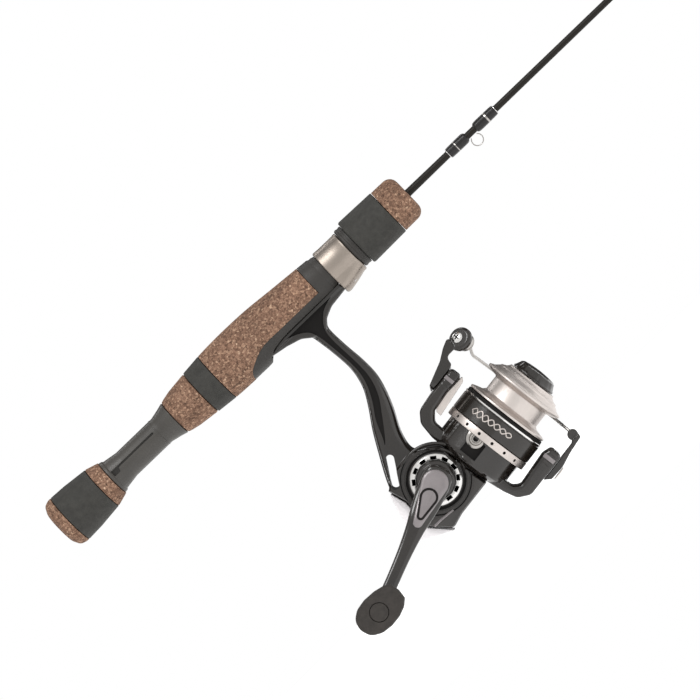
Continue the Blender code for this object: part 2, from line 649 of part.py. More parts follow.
def bearing(name, axis, start, width, bore, outer, parent, centre=(0.0, 0.0, 0.0)):
    """A ball bearing as one ring with its groove between the two races."""
    third = (outer - bore) / 3.0
    profile = [(start, bore), (start, bore + third), (start + 0.4, bore + third),
               (start + 0.4, outer - third), (start, outer - third), (start, outer),
               (start + width, outer), (start + width, bore)]
    lathe(name, profile, STEEL, axis, 16, parent, centre)


def face_gear(name, parent):
    """A disc with radial teeth on its far face, which mesh with the pinion."""
    face = -PINION_R - GAP
    tooth, outer, inner, back = 0.8, 8.9, 6.4, face - 2.8
    core = DRIVE_SHAFT_R * 0.6
    steps = DRIVE_TEETH * 2
    rings = [(back, core, False), (back, outer, False), (face, outer, True), (face, inner, True),
             (face - tooth, core, False)]
    points = []
    for along, radius, toothed in rings:
        for step in range(steps):
            angle = 2.0 * math.pi * step / steps
            y = along - (tooth * (step % 2) if toothed else 0.0)
            points.append(on_axis("Y", y, radius, angle))
    faces = []
    for ring in range(len(rings)):
        low, high = ring * steps, ((ring + 1) % len(rings)) * steps
        for step in range(steps):
            after = (step + 1) % steps
            faces.append((low + step, low + after, high + after, high + step))
    return mesh_object(name, points, faces, BRASS, parent)


def build_gears(reel, crank, shaft, pinion, wheel):
    """Crank shaft with its face gear, the pinion, and the gear that moves the spool in and out."""
    near = -CASE_HALF - GAP
    shaft_r = DRIVE_SHAFT_R
    far_end = CASE_HALF + 2.6
    gear = face_gear("drive_gear", crank)
    unite(gear, rod_bar("drive_shaft", "Y", near - 6.2, far_end, shaft_r, parent=crank, segments=16))
    unite(gear, gear_ring("small_wheel", 9, 3.3, 4.0, 4.4, 6.0, shaft_r * 0.5, BRASS, "Y", crank))
    tip = PINION_R
    gear_ring("pinion_gear", PINION_TEETH, tip - 0.7, tip, 5.2, 11.4, SHAFT_R + GAP, BRASS, "X",
              pinion, (0.0, 0.0, 0.0), 0.7)
    shaft_rear = STROKE - 13.9
    lathe("main_shaft", [(shaft_rear, 0.0), (shaft_rear, SHAFT_R), (KNOB_FRONT_X - 4.0, SHAFT_R),
                         (KNOB_FRONT_X - 4.0, 0.0)], STEEL, "X", 20, shaft)
    slider = box("oscillation_slider", (shaft_rear + 0.4, -3.0, -3.6), (shaft_rear + 3.8, 3.2, 3.4), shaft)
    slider.data.materials.clear()
    slider.data.materials.append(SHELL)
    cut(slider, rod_bar("slider_bore", "X", -8.0, 4.0, SHAFT_R + GAP, parent=shaft, segments=20))
    gear_ring("oscillation_gear", 14, 6.4, 7.3, 4.4, 6.0, 1.2, SHELL, "Y", wheel)
    centre = (CRANK_X, 0.0, CRANK_Z)
    bearing("crank_bearing_far", "Y", CASE_HALF - 3.0, 2.6, shaft_r + GAP, 4.1, reel, centre)
    bearing("crank_bearing_near", "Y", near - 4.4, 2.6, shaft_r + GAP, 4.1, reel, centre)
    bearing("pinion_bearing", "X", CASE_FRONT_X - 2.1, 1.9, SHAFT_R + 1.3 + GAP, 5.7, reel)


def build_rotor(rotor):
    """Rotor cup with two arms that reach forward outside the spool skirt."""
    back, rim, drum = ROTOR_BACK_X, ROTOR_DRUM_FRONT_X, ROTOR_DRUM_R
    wall = 3.4
    profile = [(back, 4.0), (back, 13.5), (back + 0.8, 15.5), (back + 2.6, drum - 0.6),
               (back + 4.2, drum), (rim, drum), (rim, drum - wall), (back + 4.5, drum - wall),
               (back + 3.0, drum - wall - 1.5), (back + 3.0, 4.0)]
    body = lathe("rotor", profile, GRAPHITE, "X", 32, rotor)
    half = ROTOR_ARM_HALF
    upper = rounded([(back + 0.2, 14.0, 0.0), (15.0, 22.0, 3.0), (17.2, 28.4, 4.0), (22.0, 32.6, 4.0),
                     (44.8, 32.6, 1.8), (45.0, 26.2, 1.8), (35.0, 27.2, 4.0), (25.0, 26.4, 2.0),
                     (20.8, 23.0, 3.0), (20.0, 14.0, 0.0)])
    lower = rounded([(back + 0.2, -14.0, 0.0), (15.4, -20.5, 3.0), (17.2, -27.4, 4.0),
                     (22.0, -31.4, 4.0), (44.6, -31.4, 1.8), (44.6, -25.4, 1.8),
                     (40.0, -23.8, 3.0), (22.6, -24.8, 2.5), (20.0, -21.8, 2.0), (20.0, -14.0, 0.0)])
    unite(body, prism("upper_arm", upper[::-1], -half, half, GRAPHITE, rotor, 1.4))
    unite(body, prism("lower_arm", lower, -half, half, GRAPHITE, rotor, 1.4))
    plug_at = (27.0, 0.0, 4.2)
    plug_r, floor = 3.9, -drum + 2.2
    cut(body, box("window", (18.6, -drum - 2.0, -1.5), (plug_at[0], floor, 7.0), rotor))
    cut(body, rod_bar("plug_pocket", "Y", -drum - 2.0, floor, plug_r + 0.4, plug_at, rotor))
    plate = [(25.4, 22.9), (43.2, 24.4), (44.0, 25.4), (35.0, 26.5), (25.6, 25.6)]
    prism("arm_plate", plate, -half + 1.4, half - 1.4, SATIN, rotor, 0.0)
    nut = gear_ring("rotor_nut", 6, 5.0, 5.6, back + 3.3, back + 6.4, SHAFT_R + 2 * GAP, BRASS, "X", rotor)
    nut.data.shade_flat()
    base = floor - GAP
    clip = [(base, 1.2), (base, plug_r), (base - 0.8, plug_r), (base - 1.0, 3.2), (base - 1.0, 2.6),
            (base - 0.6, 1.2)]
    lathe("balance_plug", clip, CHROME, "Y", 18, rotor, plug_at)


def build_bail(bail, roller):
    """Bail arm, trip arm, wire and line roller; they swing about the pivot line of both arms."""
    x = BAIL_X
    web = ROLLER_X - x
    arm = rounded([(30.6, 33.0, 0.0), (46.0, 33.0, 1.4), (47.6, 37.2, 1.4), (53.0, 36.9, 0.0),
                   (55.0, 42.6, 0.0), (49.6, 40.6, 3.0), (44.0, 38.2, 3.0), (32.6, 35.4, 1.4)])
    top = prism("bail_arm", [(a - x, b) for a, b in arm], -7.2, 7.2, GRAPHITE, bail, 1.0)
    plan = lathe("bail_arm_plan", [(20.0, 0.0), (20.0, 8.0), (60.0, 8.0), (60.0, 0.0)],
                 STEEL, "Z", 32, bail)
    unite(plan, box("bail_arm_neck", (0.0, -6.6, 21.0), (web, -3.2, 59.0), bail))
    boolean(top, plan, "INTERSECT")
    eye = [(-4.6, 0.0), (-4.6, 4.6), (-3.8, 5.5), (-2.0, 5.5), (-1.3, 4.8), (-1.3, 0.0)]
    unite(top, lathe("bail_arm_eye", eye, GRAPHITE, "Y", 28, roller))
    trip = rounded([(30.8, -31.9, 0.0), (33.4, -34.6, 1.0), (40.6, -35.0, 2.0), (48.0, -33.9, 3.0),
                    (56.8, -33.4, 0.0), (57.2, -31.2, 0.0), (52.6, -31.2, 0.0), (51.6, -31.9, 0.0)])
    half = 5.6
    low = prism("trip_arm", [(a - x, b) for a, b in trip], -half, half, GRAPHITE, bail, 0.5)
    lug_x, lug_z, lug_r = BAIL_WIRE_X - x, -BAIL_RADIUS + 1.4, 2.5
    lug_front = 1.5
    unite(low, rod_bar("trip_lug", "Y", -4.0, lug_front, lug_r, (lug_x, 0.0, lug_z), bail, 20))
    tip_y, tip_z = on_roller(ROLLER_CONE_END + GAP)
    wire = [(web, tip_y, tip_z), (web - 0.9, tip_y + 3.3, tip_z - 1.3), (lug_x + 0.6, tip_y + 7.2, tip_z - 3.2)]
    steps = 16
    first, last = math.radians(62.0), math.radians(-74.0)
    for step in range(steps + 1):
        angle = first + (last - first) * step / steps
        wire.append((lug_x, BAIL_RADIUS * math.cos(angle), BAIL_RADIUS * math.sin(angle)))
    wire += [(lug_x, 5.0, lug_z - 0.1), (lug_x, lug_front + GAP, lug_z)]
    sweep("bail_wire", wire, BAIL_WIRE_R, STEEL, 8, bail)
    groove = [(-1.0, 1.4), (-1.0, 4.6), (0.2, 3.6), (2.2, 3.6), (3.4, 4.6), (3.4, 1.4)]
    lathe("line_roller", groove, CHROME, "Y", 24, roller)
    cone = [(3.4 + GAP, 0.0), (3.4 + GAP, 4.4), (5.2, 3.4), (ROLLER_CONE_END, 1.0),
            (ROLLER_CONE_END, 0.0)]
    lathe("roller_cone", cone, SATIN, "Y", 20, roller)
    head = -4.6 - GAP
    lathe("roller_screw", [(head, 0.0), (head, 2.6), (head - 0.6, 2.2), (head - 0.8, 0.0)],
          CHROME, "Y", 20, roller)
    cap = [(-35.0 - GAP, 0.0), (-35.0 - GAP, 3.4), (-35.9, 3.0), (-36.1, 0.0)]
    lathe("trip_cap", cap, SATIN, "Z", 20, bail, (-1.2, 0.0, 0.0))


def on_roller(distance):
    """(y, z) of a point on the line roller's axis, at a distance towards the bail wire."""
    lean = math.radians(ROLLER_LEAN_DEG)
    return (ROLLER_Y + distance * math.cos(lean), ROLLER_Z - distance * math.sin(lean))


def build_spool(spool):
    """Spool: perforated rear band, black skirt, and the turned body with arbor and front lip."""
    inner = SKIRT_R - SKIRT_WALL
    band = lathe("skirt_band", [(SKIRT_REAR_X, inner), (SKIRT_REAR_X, SKIRT_R),
                                (SKIRT_BAND_FRONT_X - GAP, SKIRT_R), (SKIRT_BAND_FRONT_X - GAP, inner)],
                 SATIN, "X", 32, spool)
    holes = 16
    middle = (SKIRT_REAR_X + SKIRT_BAND_FRONT_X) / 2.0
    for index in range(holes):
        angle = 360.0 * (index + 0.5) / holes
        drill = rod_bar("drill_%d" % index, "Z", inner - 1.0, SKIRT_R + 2.0, 0.55, parent=spool, segments=6)
        drill.location = (middle * MM, 0.0, 0.0)
        drill.rotation_euler = (math.radians(angle), 0.0, 0.0)
        cut(band, drill)
    rear, front = SKIRT_BAND_FRONT_X, SKIRT_FRONT_X
    lathe("spool_skirt", [(rear, inner), (rear, SKIRT_R), (front - 2.4, SKIRT_R), (front - 2.2, SKIRT_R - 0.4),
                          (front - 1.6, SKIRT_R - 0.4), (front - 1.4, SKIRT_R), (front, SKIRT_R - 0.3),
                          (front, inner)], BLACK, "X", 30, spool)
    bore = SHAFT_R + GAP
    x = front + GAP
    recess = 9.0
    lathe("spool_body", [(x, bore), (x, SKIRT_R - 0.6), (x + 1.2, SKIRT_R - 0.6), (x + 2.2, ARBOR_R + 1.6),
                         (x + 3.4, ARBOR_R), (x + 11.0, ARBOR_R), (x + 12.0, LIP_R - 1.6), (x + 13.0, LIP_R),
                         (x + 14.0, LIP_R - 0.4), (x + 16.0, 15.6), (x + 17.6, 13.4), (SPOOL_FRONT_X, 12.0),
                         (SPOOL_FRONT_X, recess), (SPOOL_FRONT_X - 6.0, recess), (SPOOL_FRONT_X - 6.0, bore)],
          SATIN, "X", 28, spool)
    lathe("drag_washer", [(SPOOL_FRONT_X - 5.6, bore), (SPOOL_FRONT_X - 5.6, recess - GAP),
                          (SPOOL_FRONT_X - 1.6, recess - GAP), (SPOOL_FRONT_X - 1.6, bore)], FELT, "X", 28, spool)
    gear_ring("click_ratchet", 12, 5.4, 6.2, x - 2.6, x - GAP, bore, BLACK, "X", spool)


def build_drag_knob(knob):
    rear, front, radius = SPOOL_FRONT_X + GAP, KNOB_FRONT_X, DRAG_KNOB_R
    count = 16
    dish = [(rear, 0.0), (rear, radius), (rear + 1.0, radius), (front - 2.2, radius * 0.87),
            (front - 0.8, radius * 0.72), (front - 0.2, radius * 0.4), (front, 0.0)]
    knob_solid = lathe("drag_knob", dish, BLACK, "X", count * 2, knob)
    cut(knob_solid, rod_bar("knob_bore", "X", rear - 2.0, front - 3.4, SHAFT_R + GAP, parent=knob,
                            segments=16))


def arm_point(distance, aside=0.0):
    """A point on the crank arm's centre line, as (x, z) from the crank's axis."""
    angle = math.radians(CRANK_DROP_DEG)
    along = Vector((-math.cos(angle), -math.sin(angle)))
    across = Vector((-along.y, along.x))
    spot = along * distance + across * aside
    return spot.x, spot.y


def build_crank(crank, knob):
    near = -CASE_HALF - GAP - 5.4 - GAP
    root = near - CRANK_STAND_OFF
    end_y = root - 15.4
    stations = [(-6.6, 3.4, root + 0.4, 2.4), (-5.0, 5.8, root + 0.2, 3.2), (0.0, 7.0, root, 3.6),
                (8.0, 6.6, root - 1.6, 3.4), (14.0, 5.8, root - 4.2, 3.0), (18.0, 5.1, root - 5.6, 2.8),
                (24.0, 4.2, root - 6.8, 2.5), (34.0, 3.4, root - 9.2, 2.3), (46.0, 3.1, root - 12.6, 2.2),
                (CRANK_THROW - 4.0, 3.3, end_y + 0.2, 2.2), (CRANK_THROW, 3.6, end_y, 2.2),
                (CRANK_THROW + 3.4, 2.0, end_y, 2.0)]
    sections = []
    for distance, half, y, thick in stations:
        sections.append([(arm_point(distance, half * a)[0], y + thick * b, arm_point(distance, half * a)[1])
                         for a, b in oval(16, 0.7)])
    arm = loft("crank_arm", sections, GUNMETAL, crank)
    hub = [(near, 0.0), (near, 5.6), (near - 3.0, 5.0), (root + 6.0, 5.0), (root + 2.5, 6.2), (root, 6.2),
           (root, 0.0)]
    unite(arm, lathe("crank_hub", hub, GUNMETAL, "Y", 32, crank))
    cut(arm, rod_bar("crank_socket", "Y", near - 1.6, near + 2.0, DRIVE_SHAFT_R + GAP, parent=crank))
    cap_y = CASE_HALF + GAP
    lathe("crank_cap", [(cap_y, DRIVE_SHAFT_R + GAP), (cap_y, 7.0), (cap_y + 1.2, 7.4), (cap_y + 3.6, 7.0),
                        (cap_y + 4.6, 5.6), (cap_y + 4.8, 0.0), (cap_y + 3.0, 0.0),
                        (cap_y + 3.0, DRIVE_SHAFT_R + GAP)], GUNMETAL, "Y", 24, crank)
    outer = end_y - 2.2 - GAP
    x, z = arm_point(CRANK_THROW)
    length = 12.0
    lathe("knob_spindle", [(outer, 0.0), (outer, 1.5), (outer - length + 2.4, 1.5), (outer - length + 2.4, 0.0)],
          STEEL, "Y", 12, crank, (x, 0.0, z))
    start, end = outer - 0.8, outer - length
    sections = []
    for y, grow in ((start, 0.5), (start - 2.0, 0.72), (start - 4.4, 0.95), (start - 6.0, 1.0),
                    (end + 1.6, 0.98), (end + 0.5, 0.9), (end, 0.8)):
        sections.append([(12.4 * grow * a, y, 8.4 * grow * b) for a, b in oval(28, 0.88)])
    paddle = loft("crank_knob", sections, RUBBER, knob)
    cut(paddle, rod_bar("paddle_bore", "Y", end - 3.0, start + 3.0, 1.5 + GAP, parent=knob, segments=20))
    cut(paddle, rod_bar("cap_seat", "Y", end - 3.0, end + 1.4, 4.5, parent=knob))
    lathe("knob_cap", [(end + 1.1, 0.0), (end + 1.1, 4.2), (end + 0.1, 4.2), (end - 0.2, 3.6),
                       (end - 0.2, 0.0)], RUBBER, "Y", 24, knob)


def build_reel():
    """Everything on the reel's own frame, tilted nose-up under the rod."""
    reel = place("reel_frame", None, (-REEL_BACK, 0.0, -REEL_DROP), (0.0, -REEL_TILT, 0.0))
    crank = place("crank_axis", reel, (CRANK_X, 0.0, CRANK_Z))
    knob_x, knob_z = arm_point(CRANK_THROW)
    crank_knob = place("knob_axis", crank, (knob_x, 0.0, knob_z), (0.0, KNOB_TURN_DEG - CRANK_DROP_DEG, 0.0))
    rotor = place("rotor_axis", reel)
    shaft = place("shaft_axis", reel)
    wheel = place("oscillation_axis", reel, (CRANK_X - WHEEL_BACK, 0.0, CRANK_Z - WHEEL_DROP))
    bail = place("bail_axis", rotor, (BAIL_X, 0.0, 0.0))
    roller = place("roller_axis", bail, (ROLLER_X - BAIL_X, ROLLER_Y, ROLLER_Z),
                   (-ROLLER_LEAN_DEG, 0.0, 0.0))
    spool = place("spool_axis", shaft)
    drag = place("drag_axis", shaft)
    outline = build_case(reel)
    build_covers(reel, outline)
    build_gears(reel, crank, shaft, rotor, wheel)
    build_rotor(rotor)
    build_bail(bail, roller)
    build_spool(spool)
    build_drag_knob(drag)
    build_crank(crank, crank_knob)


build_blank()
build_butt()
build_tube()
build_rear_grip()
build_main_grip()
build_seat()
build_hood()
build_fore_grip()
build_keeper()
build_guides()
build_tip()
build_reel()
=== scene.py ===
"""Looks for the ice fishing rod and its spinning reel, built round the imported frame."""
import json
import math

import bmesh
import bpy
from mathutils import Matrix, Vector


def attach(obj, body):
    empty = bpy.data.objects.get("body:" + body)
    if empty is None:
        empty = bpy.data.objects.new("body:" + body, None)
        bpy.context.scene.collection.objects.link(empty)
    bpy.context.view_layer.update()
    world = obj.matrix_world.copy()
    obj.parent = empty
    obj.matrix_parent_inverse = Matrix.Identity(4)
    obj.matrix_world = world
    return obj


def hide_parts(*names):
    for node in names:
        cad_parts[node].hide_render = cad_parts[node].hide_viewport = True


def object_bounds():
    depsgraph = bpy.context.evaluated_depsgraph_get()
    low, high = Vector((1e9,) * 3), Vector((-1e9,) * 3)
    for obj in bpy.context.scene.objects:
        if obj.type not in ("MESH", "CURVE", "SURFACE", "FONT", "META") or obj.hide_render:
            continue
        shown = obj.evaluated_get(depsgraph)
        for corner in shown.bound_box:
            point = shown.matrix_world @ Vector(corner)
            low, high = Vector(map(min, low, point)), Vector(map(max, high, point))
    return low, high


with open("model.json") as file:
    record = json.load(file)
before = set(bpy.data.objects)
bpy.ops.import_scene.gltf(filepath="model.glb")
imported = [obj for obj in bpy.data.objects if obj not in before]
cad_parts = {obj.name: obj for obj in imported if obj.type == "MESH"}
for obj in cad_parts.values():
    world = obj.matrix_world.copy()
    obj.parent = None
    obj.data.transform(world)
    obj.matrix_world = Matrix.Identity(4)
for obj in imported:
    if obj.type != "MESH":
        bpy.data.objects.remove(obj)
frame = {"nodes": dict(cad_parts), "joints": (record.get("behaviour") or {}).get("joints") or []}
CAD_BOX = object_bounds()
MM = 0.001
NODES = frame["nodes"]
JOINTS = {joint["name"]: joint for joint in frame["joints"]}

# The reel's own frame: X along the spool's axis, Z towards the rod, origin on the spool's axis.
SPOOL_AXIS = Vector(JOINTS["rotor_spin"]["axis"]).normalized()
REEL_UP = SPOOL_AXIS.cross(Vector((0.0, 1.0, 0.0))).normalized()
REEL = Matrix.Identity(4)
for row in range(3):
    REEL[row][0] = SPOOL_AXIS[row]
    REEL[row][2] = REEL_UP[row]
    REEL[row][3] = JOINTS["rotor_spin"]["pos_m"][row]


def moved(matrix, x=0.0, y=0.0, z=0.0):
    """The matrix shifted by millimetres along its own axes."""
    return matrix @ Matrix.Translation(Vector((x, y, z)) * MM)


def local_box(node, matrix):
    """Lowest and highest corner of a CAD node, in millimetres in the given frame."""
    back = matrix.inverted()
    points = [back @ vertex.co / MM for vertex in NODES[node].data.vertices]
    low = Vector([min(point[axis] for point in points) for axis in range(3)])
    high = Vector([max(point[axis] for point in points) for axis in range(3)])
    return low, high


def in_reel(point):
    """A row-frame point in the reel's own frame, in millimetres."""
    return REEL.inverted() @ Vector(point) / MM


ROD = Matrix.Identity(4)
CRANK = moved(REEL, *in_reel(JOINTS["crank_turn"]["pos_m"]))
BAIL = moved(REEL, *in_reel(JOINTS["bail_flip"]["pos_m"]))
ROLLER_AXIS = Vector(JOINTS["line_roller_spin"]["axis"]).normalized()
ROLLER = Matrix.Identity(4)
for row in range(3):
    ROLLER[row][0] = SPOOL_AXIS[row]
    ROLLER[row][1] = ROLLER_AXIS[row]
    ROLLER[row][2] = SPOOL_AXIS.cross(ROLLER_AXIS)[row]
    ROLLER[row][3] = JOINTS["line_roller_spin"]["pos_m"][row]
KNOB_AT = in_reel(JOINTS["knob_spin"]["pos_m"]) - in_reel(JOINTS["crank_turn"]["pos_m"])
THROW = math.hypot(KNOB_AT.x, KNOB_AT.z)
ARM_ALONG = Vector((KNOB_AT.x, KNOB_AT.z)) / THROW
ARM_ACROSS = Vector((-ARM_ALONG.y, ARM_ALONG.x))
KNOB_TURN = math.radians(22.5)
KNOB = moved(CRANK, KNOB_AT.x, 0.0, KNOB_AT.z) @ Matrix.Rotation(
    KNOB_TURN - math.atan2(-ARM_ALONG.y, -ARM_ALONG.x), 4, "Y")


# ---- mesh helpers --------------------------------------------------------------------------------
def solid(name, points, faces, matrix=ROD, crease=30.0):
    """One mesh object from points in millimetres in the given frame."""
    shape = bmesh.new()
    corners = [shape.verts.new(matrix @ (Vector(point) * MM)) for point in points]
    for face in faces:
        shape.faces.new([corners[index] for index in face])
    bmesh.ops.recalc_face_normals(shape, faces=shape.faces)
    mesh = bpy.data.meshes.new(name)
    shape.to_mesh(mesh)
    shape.free()
    mesh.shade_smooth()
    mesh.set_sharp_from_angle(angle=math.radians(crease))
    thing = bpy.data.objects.new(name, mesh)
    bpy.context.collection.objects.link(thing)
    return thing


def on_axis(axis, along, radius, angle):
    first = radius * math.cos(angle)
    second = radius * math.sin(angle)
    if axis == "X":
        return (along, first, second)
    if axis == "Y":
        return (second, along, first)
    return (first, second, along)


def lathe(name, profile, axis="X", matrix=ROD, segments=96, centre=(0.0, 0.0, 0.0), crease=30.0):
    """A turned solid from a closed outline of (along, radius) points."""
    points = []
    rings = []
    middle = Vector(centre)
    for along, radius in profile:
        if radius < 1e-6:
            rings.append([len(points)])
            points.append(Vector(on_axis(axis, along, 0.0, 0.0)) + middle)
            continue
        rings.append(list(range(len(points), len(points) + segments)))
        for step in range(segments):
            points.append(Vector(on_axis(axis, along, radius, math.tau * step / segments)) + middle)
    faces = []
    for index, ring in enumerate(rings):
        other = rings[(index + 1) % len(rings)]
        if len(ring) == 1 and len(other) == 1:
            continue
        for step in range(segments):
            after = (step + 1) % segments
            if len(ring) == 1:
                faces.append((ring[0], other[step], other[after]))
            elif len(other) == 1:
                faces.append((ring[step], ring[after], other[0]))
            else:
                faces.append((ring[step], ring[after], other[after], other[step]))
    return solid(name, points, faces, matrix, crease)


def eased(points, radius=0.4, steps=3):
    """An (along, radius) or (x, z) outline whose corners are rounded; a third value overrides the radius."""
    outline = []
    count = len(points)
    for index, point in enumerate(points):
        here = Vector(point[:2])
        reach_wanted = point[2] if len(point) > 2 else radius
        before = Vector(points[index - 1][:2]) - here
        after = Vector(points[(index + 1) % count][:2]) - here
        bend = before.angle(after, math.pi)
        if reach_wanted <= 0.0 or bend > math.radians(176.0):
            outline.append(tuple(here))
            continue
        half = bend / 2.0
        reach = min(reach_wanted / math.tan(half), before.length * 0.48, after.length * 0.48)
        arc = reach * math.tan(half)
        middle = here + (before.normalized() + after.normalized()).normalized() * (arc / math.sin(half))
        start = here + before.normalized() * reach - middle
        end = here + after.normalized() * reach - middle
        turn = start.angle_signed(end)
        for step in range(steps + 1):
            angle = -turn * step / steps
            cosine, sine = math.cos(angle), math.sin(angle)
            outline.append((middle.x + start.x * cosine - start.y * sine,
                            middle.y + start.x * sine + start.y * cosine))
    return outline


def turned(name, outer, bore, matrix=ROD, segments=96, edge=0.4, axis="X"):
    """A ring with eased rims, from (along, radius) points of its outer face and one bore radius."""
    first, last = outer[0][0], outer[-1][0]
    rims = [(outer[0][0], outer[0][1], edge)]
    rims += [(along, radius, 4.0) for along, radius in outer[1:-1]]
    rims += [(outer[-1][0], outer[-1][1], edge), (last, bore, 0.0), (first, bore, 0.0)]
    return lathe(name, eased(rims, edge, 6), axis, matrix, segments)


def prism(name, outline, near, far, matrix=ROD, edge=0.0, crease=30.0):
    """The (x, z) outline extruded from y = near to y = far, with rounded rims."""
    layers = [(near, 0.0), (far, 0.0)]
    if edge > 0.0:
        steps = 4
        layers = []
        for step in range(steps + 1):
            angle = math.pi / 2.0 * step / steps
            layers.append((near + edge * (1.0 - math.sin(angle)), edge * (1.0 - math.cos(angle))))
        layers = layers[::-1]
        layers += [(near + far - y, shrink) for y, shrink in layers[::-1]]
    points = []
    for y, shrink in layers:
        shape = inset(outline, shrink) if shrink > 1e-6 else outline
        points += [(x, y, z) for x, z in shape]
    return skin(name, points, len(outline), matrix, crease)


def inset(outline, amount):
    """A counter-clockwise outline moved inwards by amount."""
    moved_points = []
    count = len(outline)
    for index in range(count):
        here = Vector(outline[index])
        back = (here - Vector(outline[index - 1])).normalized()
        ahead = (Vector(outline[(index + 1) % count]) - here).normalized()
        normal = Vector((-(back.y + ahead.y), back.x + ahead.x)).normalized()
        spread = max(0.5, normal.dot(Vector((-back.y, back.x))))
        moved_points.append(tuple(here + normal * (amount / spread)))
    return moved_points


def skin(name, points, count, matrix=ROD, crease=30.0):
    """A closed solid through equal rings of points, with flat ends."""
    faces = [tuple(range(count)), tuple(range(len(points) - count, len(points)))]
    for layer in range(len(points) // count - 1):
        for index in range(count):
            after = (index + 1) % count
            low, high = layer * count, (layer + 1) * count
            faces.append((low + index, low + after, high + after, high + index))
    return solid(name, points, faces, matrix, crease)


def oval(steps, squareness=1.0):
    """Unit points round an oval; squareness under 1 fills its corners."""
    points = []
    for step in range(steps):
        angle = math.tau * step / steps
        cosine, sine = math.cos(angle), math.sin(angle)
        points.append((math.copysign(abs(cosine) ** squareness, cosine),
                       math.copysign(abs(sine) ** squareness, sine)))
    return points


def curve_through(points, steps=6):
    """Smooth points through given stations (Catmull-Rom), of any dimension."""
    stations = [Vector(point) for point in points]
    line = []
    for index in range(len(stations) - 1):
        before = stations[max(index - 1, 0)]
        here, there = stations[index], stations[index + 1]
        after = stations[min(index + 2, len(stations) - 1)]
        for step in range(steps):
            t = step / steps
            line.append(0.5 * ((2.0 * here) + (there - before) * t
                               + (2.0 * before - 5.0 * here + 4.0 * there - after) * t * t
                               + (3.0 * here - before - 3.0 * there + after) * t * t * t))
    line.append(stations[-1])
    return line


def wire(name, path, radius, matrix=ROD, sides=16, ends=1.0):
    """A round wire along points, its radius scaled towards rounded ends."""
    path = [Vector(point) for point in path]
    side = None
    points = []
    last = len(path) - 1
    for index, here in enumerate(path):
        ahead = path[min(index + 1, last)] - path[max(index - 1, 0)]
        ahead.normalize()
        if side is None:
            side = ahead.orthogonal().normalized()
        side = (side - ahead * side.dot(ahead)).normalized()
        up = ahead.cross(side)
        size = radius * (ends if index in (0, last) else 1.0)
        for step in range(sides):
            angle = math.tau * step / sides
            points.append(here + (side * math.cos(angle) + up * math.sin(angle)) * size)
    return skin(name, points, sides, matrix)


def block(name, low, high, matrix=ROD, edge=0.0):
    outline = [(low[0], low[2]), (high[0], low[2]), (high[0], high[2]), (low[0], high[2])]
    return prism(name, outline, low[1], high[1], matrix, edge)


def bar(name, axis, start, end, radius, matrix=ROD, centre=(0.0, 0.0, 0.0), segments=48):
    profile = [(start, 0.0), (start, radius), (end, radius), (end, 0.0)]
    return lathe(name, profile, axis, matrix, segments, centre)


def settle(thing, crease=30.0):
    """Applies the modifiers of an object to its mesh."""
    graph = bpy.context.evaluated_depsgraph_get()
    graph.update()
    mesh = bpy.data.meshes.new_from_object(thing.evaluated_get(graph))
    thing.modifiers.clear()
    thing.data = mesh
    mesh.shade_smooth()
    mesh.set_sharp_from_angle(angle=math.radians(crease))
    return thing


def combine(thing, others, operation):
    """Booleans the other solids into or out of a solid, and removes them."""
    for other in others:
        step = thing.modifiers.new(operation, "BOOLEAN")
        step.operation = operation
        step.object = other
    settle(thing)
    for other in others:
        bpy.data.objects.remove(other)
    return thing


def join(first, others):
    """Puts the meshes of several objects into the first one."""
    shape = bmesh.new()
    shape.from_mesh(first.data)
    for other in others:
        shape.from_mesh(other.data)
        bpy.data.objects.remove(other)
    shape.to_mesh(first.data)
    shape.free()
    first.data.shade_smooth()
    first.data.set_sharp_from_angle(angle=math.radians(30.0))
    return first


def mould(thing, voxel=0.3, smooth=4, factor=0.5):
    """Fuses what overlaps into one skin with soft moulded edges."""
    step = thing.modifiers.new("remesh", "REMESH")
    step.mode = "VOXEL"
    step.voxel_size = voxel * MM
    step.use_smooth_shade = True
    ease = thing.modifiers.new("smooth", "SMOOTH")
    ease.factor = factor
    ease.iterations = smooth
    return settle(thing, 80.0)


